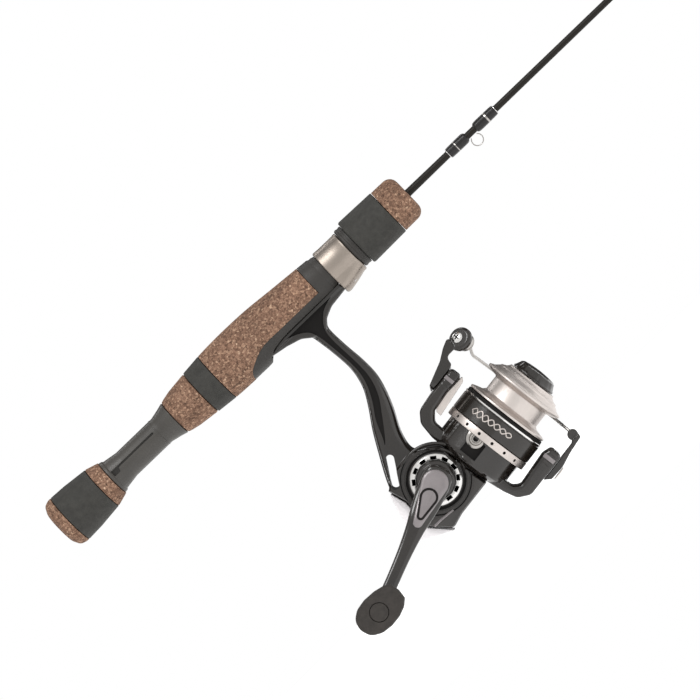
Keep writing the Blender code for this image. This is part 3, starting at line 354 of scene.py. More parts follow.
# ---- materials -----------------------------------------------------------------------------------
class Look:
    """A node material with a few short helpers."""

    def __init__(self, name):
        self.material = bpy.data.materials.new(name)
        self.material.use_nodes = True
        self.tree = self.material.node_tree
        self.shader = self.tree.nodes["Principled BSDF"]
        self.place = self.node("ShaderNodeTexCoord").outputs["Object"]

    def node(self, kind, **values):
        made = self.tree.nodes.new(kind)
        for key, value in values.items():
            setattr(made, key, value)
        return made

    def link(self, source, target):
        self.tree.links.new(source, target)

    def stretched(self, scale):
        mapping = self.node("ShaderNodeMapping")
        mapping.inputs["Scale"].default_value = scale
        self.link(self.place, mapping.inputs["Vector"])
        return mapping.outputs["Vector"]

    def noise(self, scale, detail=4.0, roughness=0.5, vector=None):
        made = self.node("ShaderNodeTexNoise")
        made.inputs["Scale"].default_value = scale
        made.inputs["Detail"].default_value = detail
        made.inputs["Roughness"].default_value = roughness
        self.link(vector or self.place, made.inputs["Vector"])
        return made.outputs["Fac"]

    def cells(self, scale, feature="F1", vector=None):
        made = self.node("ShaderNodeTexVoronoi", feature=feature)
        made.inputs["Scale"].default_value = scale
        self.link(vector or self.place, made.inputs["Vector"])
        return made

    def ramp(self, source, stops):
        made = self.node("ShaderNodeValToRGB")
        elements = made.color_ramp.elements
        while len(elements) < len(stops):
            elements.new(0.5)
        for element, (position, colour) in zip(elements, stops):
            element.position = position
            value = colour if isinstance(colour, tuple) else (colour, colour, colour)
            element.color = (*value, 1.0)
        self.link(source, made.inputs["Fac"])
        return made.outputs["Color"]

    def mix(self, factor, first, second, blend="MIX"):
        made = self.node("ShaderNodeMix", data_type="RGBA", blend_type=blend)
        if isinstance(factor, float):
            made.inputs[0].default_value = factor
        else:
            self.link(factor, made.inputs[0])
        for slot, value in ((6, first), (7, second)):
            if isinstance(value, tuple):
                made.inputs[slot].default_value = (*value, 1.0)
            else:
                self.link(value, made.inputs[slot])
        return made.outputs[2]

    def colour(self, source):
        self.link(source, self.shader.inputs["Base Color"])

    def rough(self, source, low, high):
        spread = self.node("ShaderNodeMapRange")
        spread.inputs["To Min"].default_value = low
        spread.inputs["To Max"].default_value = high
        self.link(source, spread.inputs["Value"])
        self.link(spread.outputs["Result"], self.shader.inputs["Roughness"])

    def bump(self, source, depth, strength=0.5):
        made = self.node("ShaderNodeBump")
        made.inputs["Distance"].default_value = depth
        made.inputs["Strength"].default_value = strength
        last = self.shader.inputs["Normal"].links
        if last:
            self.link(last[0].from_socket, made.inputs["Normal"])
        self.link(source, made.inputs["Height"])
        self.link(made.outputs["Normal"], self.shader.inputs["Normal"])

    def set(self, **values):
        for key, value in values.items():
            self.shader.inputs[key.replace("_", " ")].default_value = value
        return self


def srgb(red, green, blue):
    """Linear colour from 0..255 display values."""
    linear = []
    for value in (red, green, blue):
        share = value / 255.0
        linear.append(share / 12.92 if share <= 0.04045 else ((share + 0.055) / 1.055) ** 2.4)
    return tuple(linear)


def cork_look():
    """Rubberised burl cork: packed granules of several browns with dark binder between them."""
    look = Look("burl_cork")
    warp = look.noise(900.0, 2.0)
    grains = look.cells(1150.0)
    tone = look.ramp(grains.outputs["Color"], [(0.0, srgb(70, 50, 40)), (0.3, srgb(118, 89, 72)),
                                                (0.62, srgb(152, 118, 98)), (0.84, srgb(192, 156, 130)),
                                                (1.0, srgb(240, 206, 176))])
    fine = look.ramp(look.cells(2600.0).outputs["Color"], [(0.0, srgb(88, 64, 52)), (0.5, srgb(146, 110, 90)),
                                                           (1.0, srgb(206, 166, 138))])
    blended = look.mix(0.35, tone, fine)
    edge = look.cells(1150.0, "DISTANCE_TO_EDGE").outputs["Distance"]
    binder = look.ramp(edge, [(0.0, 0.62), (0.09, 1.0), (1.0, 1.0)])
    shaded = look.mix(1.0, blended, binder, "MULTIPLY")
    pits = look.ramp(look.noise(700.0, 5.0, 0.65), [(0.36, 0.45), (0.46, 1.0)])
    shaded = look.mix(0.8, shaded, pits, "MULTIPLY")
    broad = look.ramp(look.noise(60.0, 3.0), [(0.3, 0.7), (0.7, 0.95)])
    look.colour(look.mix(1.0, shaded, broad, "MULTIPLY"))
    look.rough(warp, 0.75, 0.95)
    look.bump(edge, 0.0003, 0.5)
    look.bump(pits, 0.0003, 0.6)
    look.set(Specular_IOR_Level=0.25)
    return look.material


def rubber_look(name, colour, rough=(0.62, 0.8)):
    """Matt grip rubber with a fine pebbled skin and faint scuffs."""
    look = Look(name)
    mottled = look.noise(350.0, 4.0, 0.6)
    dark = tuple(value * 0.8 for value in colour)
    light = tuple(value * 1.25 for value in colour)
    look.colour(look.ramp(mottled, [(0.3, dark), (0.7, light)]))
    look.rough(look.noise(1200.0, 3.0), *rough)
    look.bump(look.cells(3200.0).outputs["Distance"], 0.00008, 0.35)
    look.set(Specular_IOR_Level=0.35)
    return look.material


def plastic_look(name, colour, rough=(0.25, 0.4), coat=0.0, metal=0.0, flake=0.0, shine=0.5):
    """Moulded plastic or paint: slight tone changes, fine flake and a faint orange peel."""
    look = Look(name)
    tone = look.noise(90.0, 4.0, 0.55)
    dark = tuple(value * 0.86 for value in colour)
    light = tuple(value * 1.14 for value in colour)
    base = look.ramp(tone, [(0.3, dark), (0.7, light)])
    if flake > 0.0:
        spark = look.ramp(look.cells(9000.0).outputs["Color"], [(0.0, 1.0 - flake), (1.0, 1.0 + flake)])
        base = look.mix(1.0, base, spark, "MULTIPLY")
    look.colour(base)
    look.rough(look.noise(500.0, 4.0, 0.6), *rough)
    look.bump(look.noise(1500.0, 2.0), 0.00002, 0.4)
    look.set(Metallic=metal, Coat_Weight=coat, Coat_Roughness=0.12, Specular_IOR_Level=shine)
    return look.material


def metal_look(name, colour, rough, lines=None, line_depth=0.00002):
    """Metal with fine lathe lines or wear; lines is the stretch of the line noise along X, Y and Z."""
    look = Look(name)
    tone = look.noise(120.0, 4.0)
    dark = tuple(value * 0.9 for value in colour)
    look.colour(look.ramp(tone, [(0.3, dark), (0.7, colour)]))
    if lines:
        scratch = look.noise(1.0, 3.0, 0.6, look.stretched(lines))
        look.bump(scratch, line_depth, 0.4)
        look.rough(scratch, *rough)
    else:
        look.rough(look.noise(900.0, 4.0), *rough)
        look.bump(look.noise(600.0, 2.0), 0.00001, 0.3)
    look.set(Metallic=1.0)
    return look.material


def blank_look():
    """Lacquered composite blank with its helical wrapping tape showing faintly."""
    look = Look("blank")
    wave = look.node("ShaderNodeTexWave", wave_type="BANDS", bands_direction="X")
    wave.inputs["Scale"].default_value = 420.0
    wave.inputs["Distortion"].default_value = 1.5
    look.link(look.place, wave.inputs["Vector"])
    band = wave.outputs["Fac"]
    look.colour(look.ramp(band, [(0.2, srgb(20, 18, 14)), (0.8, srgb(34, 30, 25))]))
    look.rough(look.noise(500.0), 0.4, 0.55)
    look.bump(band, 0.00003, 0.3)
    look.set(Specular_IOR_Level=0.2)
    return look.material


def thread_look():
    """Black winding thread under clear lacquer: fine turns across the rod."""
    look = Look("lacquered_thread")
    wave = look.node("ShaderNodeTexWave", wave_type="BANDS", bands_direction="X")
    wave.inputs["Scale"].default_value = 1300.0
    look.link(look.place, wave.inputs["Vector"])
    look.colour(look.ramp(wave.outputs["Fac"], [(0.2, srgb(14, 13, 13)), (0.8, srgb(38, 36, 36))]))
    look.rough(look.noise(300.0), 0.2, 0.35)
    look.bump(wave.outputs["Fac"], 0.00004, 0.5)
    look.set(Coat_Weight=0.1, Coat_Roughness=0.15, Specular_IOR_Level=0.3)
    return look.material


CORK = cork_look()
RUBBER = rubber_look("grip_rubber", srgb(52, 51, 48))
KNOB_RUBBER = rubber_look("knob_rubber", srgb(50, 46, 43))
BLANK = blank_look()
THREAD = thread_look()
COMPOSITE = plastic_look("grey_composite", srgb(60, 57, 53), (0.42, 0.58), 0.1)
SEAT = plastic_look("seat_plastic", srgb(43, 40, 37), (0.5, 0.65))
GRAPHITE = plastic_look("gloss_graphite", srgb(32, 28, 25), (0.12, 0.24), 0.25, 0.0, 0.2)
GUNMETAL = plastic_look("gunmetal_paint", srgb(132, 126, 127), (0.3, 0.42), 0.4, 0.5, 0.15)
SHELL = plastic_look("pale_shell", srgb(236, 232, 234), (0.3, 0.45), 0.4, 0.1)
BLACK = plastic_look("black_anodised", srgb(30, 26, 22), (0.16, 0.28), 0.2)
SATIN = metal_look("satin_silver", srgb(208, 200, 195), (0.36, 0.5), (9000.0, 300.0, 300.0))
HOOD = metal_look("hood_silver", srgb(160, 150, 141), (0.36, 0.48), (6000.0, 400.0, 400.0), 0.000004)
CHROME = metal_look("chrome", srgb(232, 230, 228), (0.1, 0.2))
STEEL = metal_look("stainless", srgb(178, 174, 170), (0.18, 0.3))
BRASS = metal_look("cut_brass", srgb(200, 165, 95), (0.25, 0.4))
# Matt near-black for painted shade: laid in grooves, holes and recesses, and behind openings, where only
# shade falls.
PAINTED_SHADE = plastic_look("painted_recess_shade", srgb(20, 18, 17), (0.5, 0.7), shine=0.15)
FELT = rubber_look("drag_felt", srgb(70, 62, 54), (0.85, 0.95))
CERAMIC = plastic_look("ring_ceramic", srgb(38, 38, 42), (0.08, 0.16), 0.8)


def own(thing, body, material, *nodes):
    """Gives a piece its material and body, and says which CAD nodes it stands for."""
    thing.data.materials.clear()
    thing.data.materials.append(material)
    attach(thing, body)
    if nodes:
        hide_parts(*nodes)
    return thing


def repaint(node, material):
    """Keeps a CAD node's shape and gives it a finished material."""
    NODES[node].data.materials.clear()
    NODES[node].data.materials.append(material)


# ---- rod -----------------------------------------------------------------------------------------
def reach(node):
    """(first x, last x, radius) of a turned CAD node on the rod, in millimetres."""
    low, high = local_box(node, ROD)
    return low.x, high.x, max(high.y, -low.y)


def build_grips():
    """Cork and rubber pieces of the handle."""
    bore = 2.3
    start, end, radius = reach("butt_cap")
    length = end - start
    cap = [(start, 0.0, 0.0), (start, radius * 0.66, 3.0), (start + length * 0.3, radius * 0.93, 3.0),
           (start + length * 0.75, radius * 0.995, 2.0), (end, radius, 0.3), (end, 0.0, 0.0)]
    own(lathe("butt_cap_look", eased(cap, 0.3, 6)), "handle", CORK, "butt_cap")
    start, end, radius = reach("butt_grip")
    shape = [(start, radius), (start + 8.0, radius * 0.972), (end, radius * 0.875)]
    own(turned("butt_grip_look", shape, bore, edge=0.3), "handle", RUBBER, "butt_grip")
    start, end, radius = reach("butt_ring")
    own(turned("butt_ring_look", [(start, radius), (end, radius * 0.836)], bore, edge=0.3),
        "handle", CORK, "butt_ring")
    start, end, radius = reach("rear_grip")
    rear = reach("handle_tube")[2]
    shape = [(start, rear), (start + 2.2, radius * 0.83), (start + 6.0, radius * 0.9), (end, radius)]
    own(turned("rear_grip_look", shape, bore, edge=0.8), "handle", CORK, "rear_grip")
    start, end, radius = reach("grip_band")
    own(turned("grip_band_look", [(start, radius * 0.925), (end, radius)], bore, edge=0.3),
        "handle", RUBBER, "grip_band")


def build_tube():
    """Slim composite tube with its flared ends and the stepped panel in each flank."""
    start, end, flare = reach("handle_tube")
    slim = flare * 7.0 / 9.0
    outer = [(start, flare), (start + 1.4, flare * 0.96), (start + 1.8, flare * 0.9), (start + 9.0, slim),
             (end - 8.0, slim), (end - 3.2, flare * 0.9), (end, flare)]
    tube = turned("handle_tube_look", outer, 2.3, segments=128, edge=0.3)
    cutters = []
    for side in (-1.0, 1.0):
        step = [(start + 1.9, 2.3), (start + 1.9, -0.6, 0.5), (start + 5.4, -0.6, 0.8), (start + 6.0, 1.35),
                (start + 28.0, 1.35, 0.3), (start + 28.0, 2.3, 0.3)]
        near = side * slim * 0.78
        far = side * slim * 1.6
        cutters.append(prism("panel", eased(step, 0.3), min(near, far), max(near, far)))
    combine(tube, cutters, "DIFFERENCE")
    own(tube, "handle", COMPOSITE, "handle_tube")
    x0 = start + 29.4
    ring = [(x0, slim - 0.2), (x0, slim + 0.14), (x0 + 0.5, slim + 0.14), (x0 + 0.5, slim - 0.2)]
    own(lathe("tube_ridge", eased(ring, 0.1)), "handle", COMPOSITE)


def seat_line(offset=0.0):
    """The joint between the main grip and the reel seat, as (x, z) from rear to front."""
    rear = reach("reel_seat")[0] + 1.0
    fat = reach("main_grip")[2]
    stations = [(rear - 1.0, -fat - 3.0), (rear, -fat + 1.4), (rear + 1.6, -fat + 3.6), (rear + 5.0, -7.6),
                (rear + 10.0, -5.5), (rear + 15.0, -4.6), (rear + 22.0, -4.6)]
    return [(x, z + offset) for x, z in curve_through(stations, 5)]


def build_main_grip():
    start, end, radius = reach("main_grip")
    length = end - start
    outer = [(start, radius * 0.965), (start + length * 0.12, radius * 0.99), (start + length * 0.28, radius),
             (start + length * 0.5, radius * 0.975), (start + length * 0.75, radius * 0.88),
             (end, radius * 0.79)]
    outer = [tuple(point) for point in curve_through(outer, 8)]
    grip = lathe("main_grip_look", outer + [(end, 2.3), (start, 2.3)], segments=128)
    line = seat_line(0.08)
    low = [(end + 5.0, line[-1][1]), (end + 5.0, -40.0), (line[0][0], -40.0)]
    combine(grip, [prism("cutaway", (line + low)[::-1], -40.0, 40.0)], "DIFFERENCE")
    own(grip, "handle", CORK, "main_grip")


def build_seat():
    """Reel seat: rear hood, bed, collar and the threaded barrel under the fore grip."""
    low, high = local_box("reel_seat", ROD)
    rear, front, fat = low.x, high.x, reach("main_grip")[2]
    hood_rear = local_box("seat_hood", ROD)[0].x
    grip_front = reach("main_grip")[1] + 0.3
    collar = local_box("seat_hood", ROD)[1].y
    barrel = reach("lock_ring")[2] * 0.648
    outer = [(rear, fat * 0.99), (rear + 9.0, fat * 0.995), (rear + 20.0, fat * 0.945),
             (grip_front - 1.0, collar * 1.03), (grip_front, collar * 1.03),
             (grip_front + 1.0, collar * 1.02), (hood_rear - 4.0, collar * 0.985),
             (hood_rear - 3.2, collar * 0.94), (hood_rear - 2.6, collar * 0.93),
             (hood_rear - 1.6, collar * 0.93), (hood_rear - 1.0, collar * 0.9),
             (hood_rear - 0.3, collar * 0.9), (hood_rear - 0.3, barrel)]
    pitch = 2.0
    x = hood_rear + 1.0
    while x < front - 2.0:
        outer += [(x, barrel - 0.25), (x + pitch * 0.3, barrel), (x + pitch * 0.7, barrel),
                  (x + pitch, barrel - 0.25)]
        x += pitch
    seat = lathe("reel_seat_look", outer + [(front, barrel - 0.3), (front, 2.3), (rear, 2.3)], segments=96)
    line = seat_line()
    edge_x = reach("main_grip")[1] + 0.3
    top = [(edge_x, line[-1][1]), (edge_x, 40.0), (rear - 5.0, 40.0), (rear - 5.0, -40.0),
           (line[0][0], -40.0)]
    bed = local_box("reel_body", ROD)[1].z + 1.25
    hood_x = rear + 11.0
    shelf = eased([(hood_x - 0.6, -40.0, 0.0), (hood_x, -13.4, 0.4), (hood_x + 2.6, -10.6, 1.0),
                   (hood_x + 5.6, bed - 1.2, 2.0), (hood_x + 11.0, bed - 0.3, 6.0), (hood_x + 16.0, bed, 4.0),
                   (hood_rear + 0.5, bed, 0.0), (hood_rear + 0.5, -40.0, 0.0)], 0.3)
    half = 5.8
    pocket = block("pocket", (rear + 9.6, -half, -11.4), (hood_x + 4.0, half, bed - 1.2))
    combine(seat, [prism("seat_top", line + top, -40.0, 40.0), prism("bed", shelf[::-1], -40.0, 40.0),
                   pocket], "DIFFERENCE")
    own(seat, "handle", SEAT, "reel_seat")


def build_hood():
    """Sliding hood of satin silver: rolled rims, and a keel below that takes the foot."""
    low, high = local_box("seat_hood", ROD)
    count = 128
    top = high.y
    deep = -low.z
    start, end = low.x, high.x
    stations = [(start, top * 0.97, deep * 0.94), (start + 0.35, top, deep * 0.985),
                (start + 1.5, top, deep), (start + 3.0, top * 0.99, deep * 0.985),
                (start + 7.0, top * 0.985, deep * 0.93), (end - 1.6, top * 0.985, deep * 0.835),
                (end - 1.3, top * 1.0, deep * 0.84), (end - 0.35, top * 1.0, deep * 0.83),
                (end, top * 0.97, deep * 0.81)]
    points = []
    for x, radius, depth in stations:
        for step in range(count):
            angle = math.tau * step / count
            down = max(0.0, -math.sin(angle))
            keel = min(1.0, max(0.0, (down - 0.5) / 0.36))
            keel = keel * keel * (3.0 - 2.0 * keel)
            reach_out = radius + (depth - radius) * keel
            points.append((x, reach_out * math.cos(angle), reach_out * math.sin(angle)))
    hood = skin("seat_hood_look", points, count)
    bore = reach("lock_ring")[2] * 0.648 + 0.3
    cutters = [bar("bore", "X", start - 2.0, end + 2.0, bore),
               block("hood_pocket", (start - 2.0, -5.8, -12.2), (end - 7.0, 5.8, -8.8))]
    combine(hood, cutters, "DIFFERENCE")
    own(hood, "hood", HOOD, "seat_hood")


def build_fore_grip():
    bore = reach("lock_ring")[2] * 0.648 + 0.3
    start, end, radius = reach("lock_ring")
    ring = [(start, radius * 0.955), (start + 0.6, radius), (start + 1.4, radius),
            (start + 1.6, radius * 0.985), (start + 2.6, radius * 0.985), (start + 2.8, radius),
            (end, radius * 0.99)]
    own(lathe("lock_ring_look", ring + [(end, bore), (start, bore)]), "fore_grip", SEAT, "lock_ring")
    start, end, radius = reach("fore_grip_rubber")
    shape = [(start, radius * 0.965), (start + 0.7, radius), (end, radius * 0.966)]
    own(turned("fore_grip_rubber_look", shape, bore, edge=0.25), "fore_grip", RUBBER, "fore_grip_rubber")
    start, end, radius = reach("fore_grip_cork")
    nose = [(start, radius, 0.3), (end, radius * 0.985, 4.6), (end, 2.25, 0.0), (start, 2.25, 0.0)]
    own(lathe("fore_grip_cork_look", eased(nose, 0.3, 8)), "fore_grip", CORK, "fore_grip_cork")


def build_blank():
    """The tapered blank, and a function giving its radius along the rod."""
    points = sorted(set((round(v.co.x / MM, 2), round(math.hypot(v.co.y, v.co.z) / MM, 3))
                        for v in NODES["rod_blank"].data.vertices))
    profile = [(x, radius) for x, radius in points if radius > 0.01]
    first, last = profile[0][0], profile[-1][0]
    blank = lathe("rod_blank_look", [(first, 0.0)] + profile + [(last, 0.0)], segments=32)
    own(blank, "handle", BLANK, "rod_blank")

    def radius_at(x):
        for (x0, r0), (x1, r1) in zip(profile, profile[1:]):
            if x <= x1:
                return r0 + (r1 - r0) * (x - x0) / (x1 - x0)
        return profile[-1][1]

    return radius_at


def build_keeper(radius_at):
    """Thread wraps with silver trim at their outer ends, a steel band on each wrap as a painted highlight,
    and the wire loop between them.
    """
    for node, sign in (("keeper_wrap_rear", 1.0), ("keeper_wrap_front", -1.0)):
        start, end, radius = reach(node)
        length = end - start
        bore = radius_at(start) + 0.05
        stations = [(start, bore + 0.1), (start + 0.7, radius * 0.93), (start + length * 0.3, radius * 0.98),
                    (start + length * 0.6, radius), (end - 1.2, radius * 0.97), (end, bore + 0.15)]
        if sign < 0.0:
            stations = [(start + end - x, size) for x, size in stations[::-1]]
        outer = [tuple(point) for point in curve_through(stations, 5)]
        own(lathe(node + "_look", outer + [(end, bore), (start, bore)], segments=48), "handle", THREAD, node)
        trim_x = start + 0.5 if sign > 0.0 else end - 0.5
        # A steel band across each wrap stands in for the glossy wrap's highlight band: a painted highlight.
        highlight_x = start + 5.4 if sign > 0.0 else end - 5.6
        for label, x, width, proud in (("trim", trim_x, 0.9, 0.02), ("wrap_highlight_band", highlight_x, 1.1, 0.03)):
            size = max(radius * 0.985, bore + 0.3) + proud if label == "wrap_highlight_band" else radius * 0.86
            band = [(x - width / 2.0, bore, 0.0), (x - width / 2.0, size), (x + width / 2.0, size),
                    (x + width / 2.0, bore, 0.0)]
            material = CHROME if label == "trim" else STEEL
            own(lathe(node + "_" + label, eased(band, 0.12, 3), segments=48), "handle", material)
    low, high = local_box("keeper_loop", ROD)
    wire_r = 0.24
    centre_x, loop_r = (low.x + high.x) / 2.0, (high.x - low.x) / 2.0 - wire_r
    centre_z = low.z + wire_r + loop_r
    path = []
    steps = 40
    opening = math.radians(55.0)
    for step in range(steps + 1):
        angle = math.pi - opening + (math.pi + 2.0 * opening) * step / steps
        path.append((centre_x + loop_r * math.cos(angle), 0.0, centre_z + loop_r * math.sin(angle)))
    own(wire("keeper_loop_look", path, wire_r), "handle", STEEL, "keeper_loop")


def build_guides(radius_at):
    """Line guides: wire frame with two struts, ceramic ring, foot under a lacquered wrap."""
    for number in range(1, 5):
        node = "guide_%d" % number
        low, high = local_box(node, ROD)
        outer_r = high.y
        centre_z = low.z + outer_r
        x = high.x - 0.55
        ring = [(x - 0.7, outer_r - 0.55), (x - 0.7, outer_r - 0.1), (x - 0.45, outer_r), (x + 0.45, outer_r),
                (x + 0.7, outer_r - 0.1), (x + 0.7, outer_r - 0.55)]
        rim = lathe("rim_%d" % number, eased(ring, 0.12), "X", ROD, 64, (0.0, 0.0, centre_z))
        top = -radius_at(x - 6.0) - 0.15
        pieces = []
        for side in (-1.0, 1.0):
            tip = Vector((x, side * outer_r * 0.62, centre_z + outer_r * 0.74))
            path = curve_through([tip, (x - 1.0, side * outer_r * 0.34, (tip.z + top) / 2.0),
                                  (x - 4.2, side * 0.35, top - 0.4), (low.x + 1.0, side * 0.3, top - 0.3)], 8)
            pieces.append(wire("strut", path, 0.4, sides=12))
        frame_piece = join(rim, pieces)
        own(frame_piece, "handle", STEEL, node)
        insert = [(x - 0.55, outer_r - 1.05), (x - 0.55, outer_r - 0.5), (x + 0.55, outer_r - 0.5),
                  (x + 0.55, outer_r - 1.05)]
        own(lathe(node + "_ring", eased(insert, 0.26, 4), "X", ROD, 64, (0.0, 0.0, centre_z)),
            "handle", CERAMIC)
        wrap = "guide_wrap_%d" % number
        start, end, radius = reach(wrap)
        thin = radius_at(start) + 0.12
        stations = [(start, thin), (start + 1.5, thin + 0.35), (start + 4.0, radius * 0.86),
                    (end - 1.0, radius * 0.97), (end, radius * 0.86)]
        outer = [tuple(point) for point in curve_through(stations, 5)]
        bore = radius_at(start) + 0.02
        own(lathe(wrap + "_look", outer + [(end, bore), (start, bore)], segments=48), "handle", THREAD, wrap)


def build_tip():
    low, high = local_box("tip_top", ROD)
    start, end = low.x, high.x
    sleeve_r = 1.4
    sleeve = [(start, 0.7), (start, sleeve_r - 0.1), (start + 0.4, sleeve_r), (end - 2.2, sleeve_r),
              (end - 1.2, sleeve_r * 0.7), (end - 1.2, 0.7)]
    body = lathe("tip_top_look", sleeve, segments=32)
    ring_r = high.y - 0.5
    centre = (end - 0.5, 0.0, low.z + 0.5 + ring_r)
    rim = [(0.45 * math.cos(a), ring_r + 0.45 * math.sin(a)) for a in
           [math.tau * step / 12 for step in range(12)]]
    loop = lathe("loop", rim, "X", ROD, 40, centre)
    own(join(body, [loop]), "handle", STEEL, "tip_top")


# ---- reel body -----------------------------------------------------------------------------------
def build_body():
    """Foot, stem and gear case as one moulded casting with arcs round the crank boss."""
    foot_top = local_box("reel_body", ROD)[1].z
    foot_front = 26.5
    hood_back = local_box("seat_hood", ROD)[0].x - 0.3
    foot = eased([(-27.0, foot_top, 0.3), (-27.0, foot_top - 1.4, 0.6), (-23.4, -10.9, 2.0),
                  (-16.0, -12.2, 6.0), (-9.0, -14.2, 6.0), (-4.6, -17.6, 4.0), (3.0, -18.6, 0.0),
                  (5.6, -15.4, 4.0), (11.0, -13.0, 6.0), (20.0, -11.8, 6.0),
                  (foot_front, foot_top - 1.5, 0.6), (foot_front, foot_top, 0.3)], 0.5, 5)
    solid_foot = prism("foot", foot, -5.3, 5.3, ROD, 0.5)
    rail = foot_top + 1.25
    ledge = prism("foot_ledge", [(-24.0, -10.4), (-22.0, foot_top - 1.2), (hood_back, foot_top - 0.6),
                                 (hood_back, rail), (-8.5, rail), (-13.5, rail - 0.05),
                                 (-18.9, rail - 0.75), (-22.4, rail - 2.2)], -5.9, 5.9, ROD)
    stations = [(-10.4, -10.5, 10.8, 5.3), (-12.0, -9.4, 9.6, 5.2), (-13.6, -7.4, 7.2, 5.0),
                (-16.0, -5.6, 4.9, 4.8), (-20.0, -4.5, 3.2, 4.5), (-30.0, -3.0, 3.6, 4.4),
                (-40.0, -2.4, 4.6, 4.4), (-49.0, -4.2, 4.6, 4.6), (-57.0, -8.4, 2.8, 5.0),
                (-66.0, -14.4, -0.6, 5.6), (-76.0, -20.4, -5.4, 6.6), (-84.0, -25.2, -7.0, 7.6),
                (-88.6, -27.4, -4.6, 8.4), (-90.6, -26.8, -2.6, 8.6)]
    points = []
    slope = SPOOL_AXIS.z / SPOOL_AXIS.x
    for z, rear, front, half in curve_through(stations, 5):
        lean = slope * min(1.0, max(0.0, (-66.0 - z) / 22.0))
        centre, half_x = (rear + front) / 2.0, (front - rear) / 2.0
        for a, b in oval(48, 0.72):
            x = centre + half_x * a
            points.append((x, half * b, z + lean * (x + 9.0)))
    stem = skin("stem", points, 48)
    channels = []
    channel_shades = []
    for side in (-1.0, 1.0):
        for deep, rise, group in ((0.8, 3.0, channels), (1.1, -0.75, channel_shades)):
            strip = []
            for z, rear, front, half in curve_through(CHANNEL, 5):
                inner, outer = side * (half - deep), side * (half + rise)
                strip += [(rear, inner, z), (front, inner, z), (front, outer, z), (rear, outer, z)]
            group.append(skin("channel", strip, 4))
    case_low, case_high = -10.8, 10.8
    outline = case_outline()
    case = prism("reel_body_look", outline, case_low, case_high, REEL, 2.4)
    centre = (CRANK_POS.x, 0.0, CRANK_POS.z)
    arcs = []
    for radius, height, first, last in ((13.9, 1.0, -150.0, 160.0), (16.4, 0.8, 22.0, 150.0)):
        band = []
        steps = 60
        for step in range(steps + 1):
            angle = math.radians(first + (last - first) * step / steps)
            band.append((centre[0] + radius * math.cos(angle), case_low - height + 0.5,
                         centre[2] + radius * math.sin(angle)))
        arcs.append(wire("arc", band, 0.9, REEL, 10))
    nose = lathe("nose", eased([(8.0, 0.0, 0.0), (8.0, 11.6, 0.0), (14.0, 11.6, 0.6), (14.0, 0.0, 0.0)], 0.5),
                 "X", REEL)
    body = join(case, [stem, solid_foot, ledge, nose] + arcs)
    mould(body, 0.34, 3)
    cavity = [(-13.0, 12.0), (-15.8, -2.8), (-10.0, -10.4), (-4.0, -9.8), (11.8, -9.8), (11.8, 13.6),
              (7.5, 17.2), (-9.0, 17.2)]
    cutters = [prism("cavity", cavity, -15.8, 8.6, REEL), bar("front_hole", "X", 8.0, 18.0, 6.0, REEL),
               bar("far_hole", "Y", 4.0, 14.8, 4.4, REEL, centre),
               prism("slot", slot_outline(), -20.0, 20.0, REEL)]
    combine(body, cutters + channels, "DIFFERENCE")
    own(body, "handle", GRAPHITE, "reel_body")
    # Sheets of matt near-black inside the stem's channels: painted shade in place of the deep recess's
    # darkness.
    own(join(channel_shades[0], channel_shades[1:]), "handle", PAINTED_SHADE)


CRANK_POS = in_reel(JOINTS["crank_turn"]["pos_m"])
CHANNEL = [(-9.6, -14.0, 14.0, 5.3), (-11.6, -8.6, 8.0, 5.3), (-14.4, -4.6, 4.6, 5.2),
           (-18.0, -2.9, 2.0, 4.8), (-24.0, -1.7, 0.9, 4.45), (-40.0, -0.3, 1.7, 4.4),
           (-49.0, -1.7, 1.2, 4.6), (-57.0, -5.4, -1.6, 5.0), (-64.0, -10.0, -6.2, 5.5),
           (-72.0, -13.4, -12.0, 6.2), (-75.0, -15.0, -14.6, 6.5)]


def slot_outline(half=1.9):
    """The long opening in the stem's lower rear edge."""
    start, end = Vector((-4.6, 29.0)), Vector((-12.4, 19.8))
    along = (end - start).normalized()
    side = Vector((-along.y, along.x)) * half
    outline = []
    for tip, sign in ((start, -1.0), (end, 1.0)):
        for step in range(13):
            angle = math.pi * step / 12.0
            outline.append(tuple(tip - side * sign * math.cos(angle) + along * sign * half * math.sin(angle)))
    return outline


def case_outline():
    """The gear case from the side, counter-clockwise in the reel's frame."""
    return eased([(-16.6, 20.4, 0.0), (-15.2, 11.0, 3.0), (-18.4, -3.0, 2.8), (-11.2, -13.2, 2.8),
                  (-4.0, -12.0, 4.0), (14.0, -12.0, 0.0), (14.0, 15.0, 2.8), (9.5, 19.5, 3.0),
                  (4.0, 23.5, 3.0), (-10.0, 24.0, 3.0)], 1.0, 6)


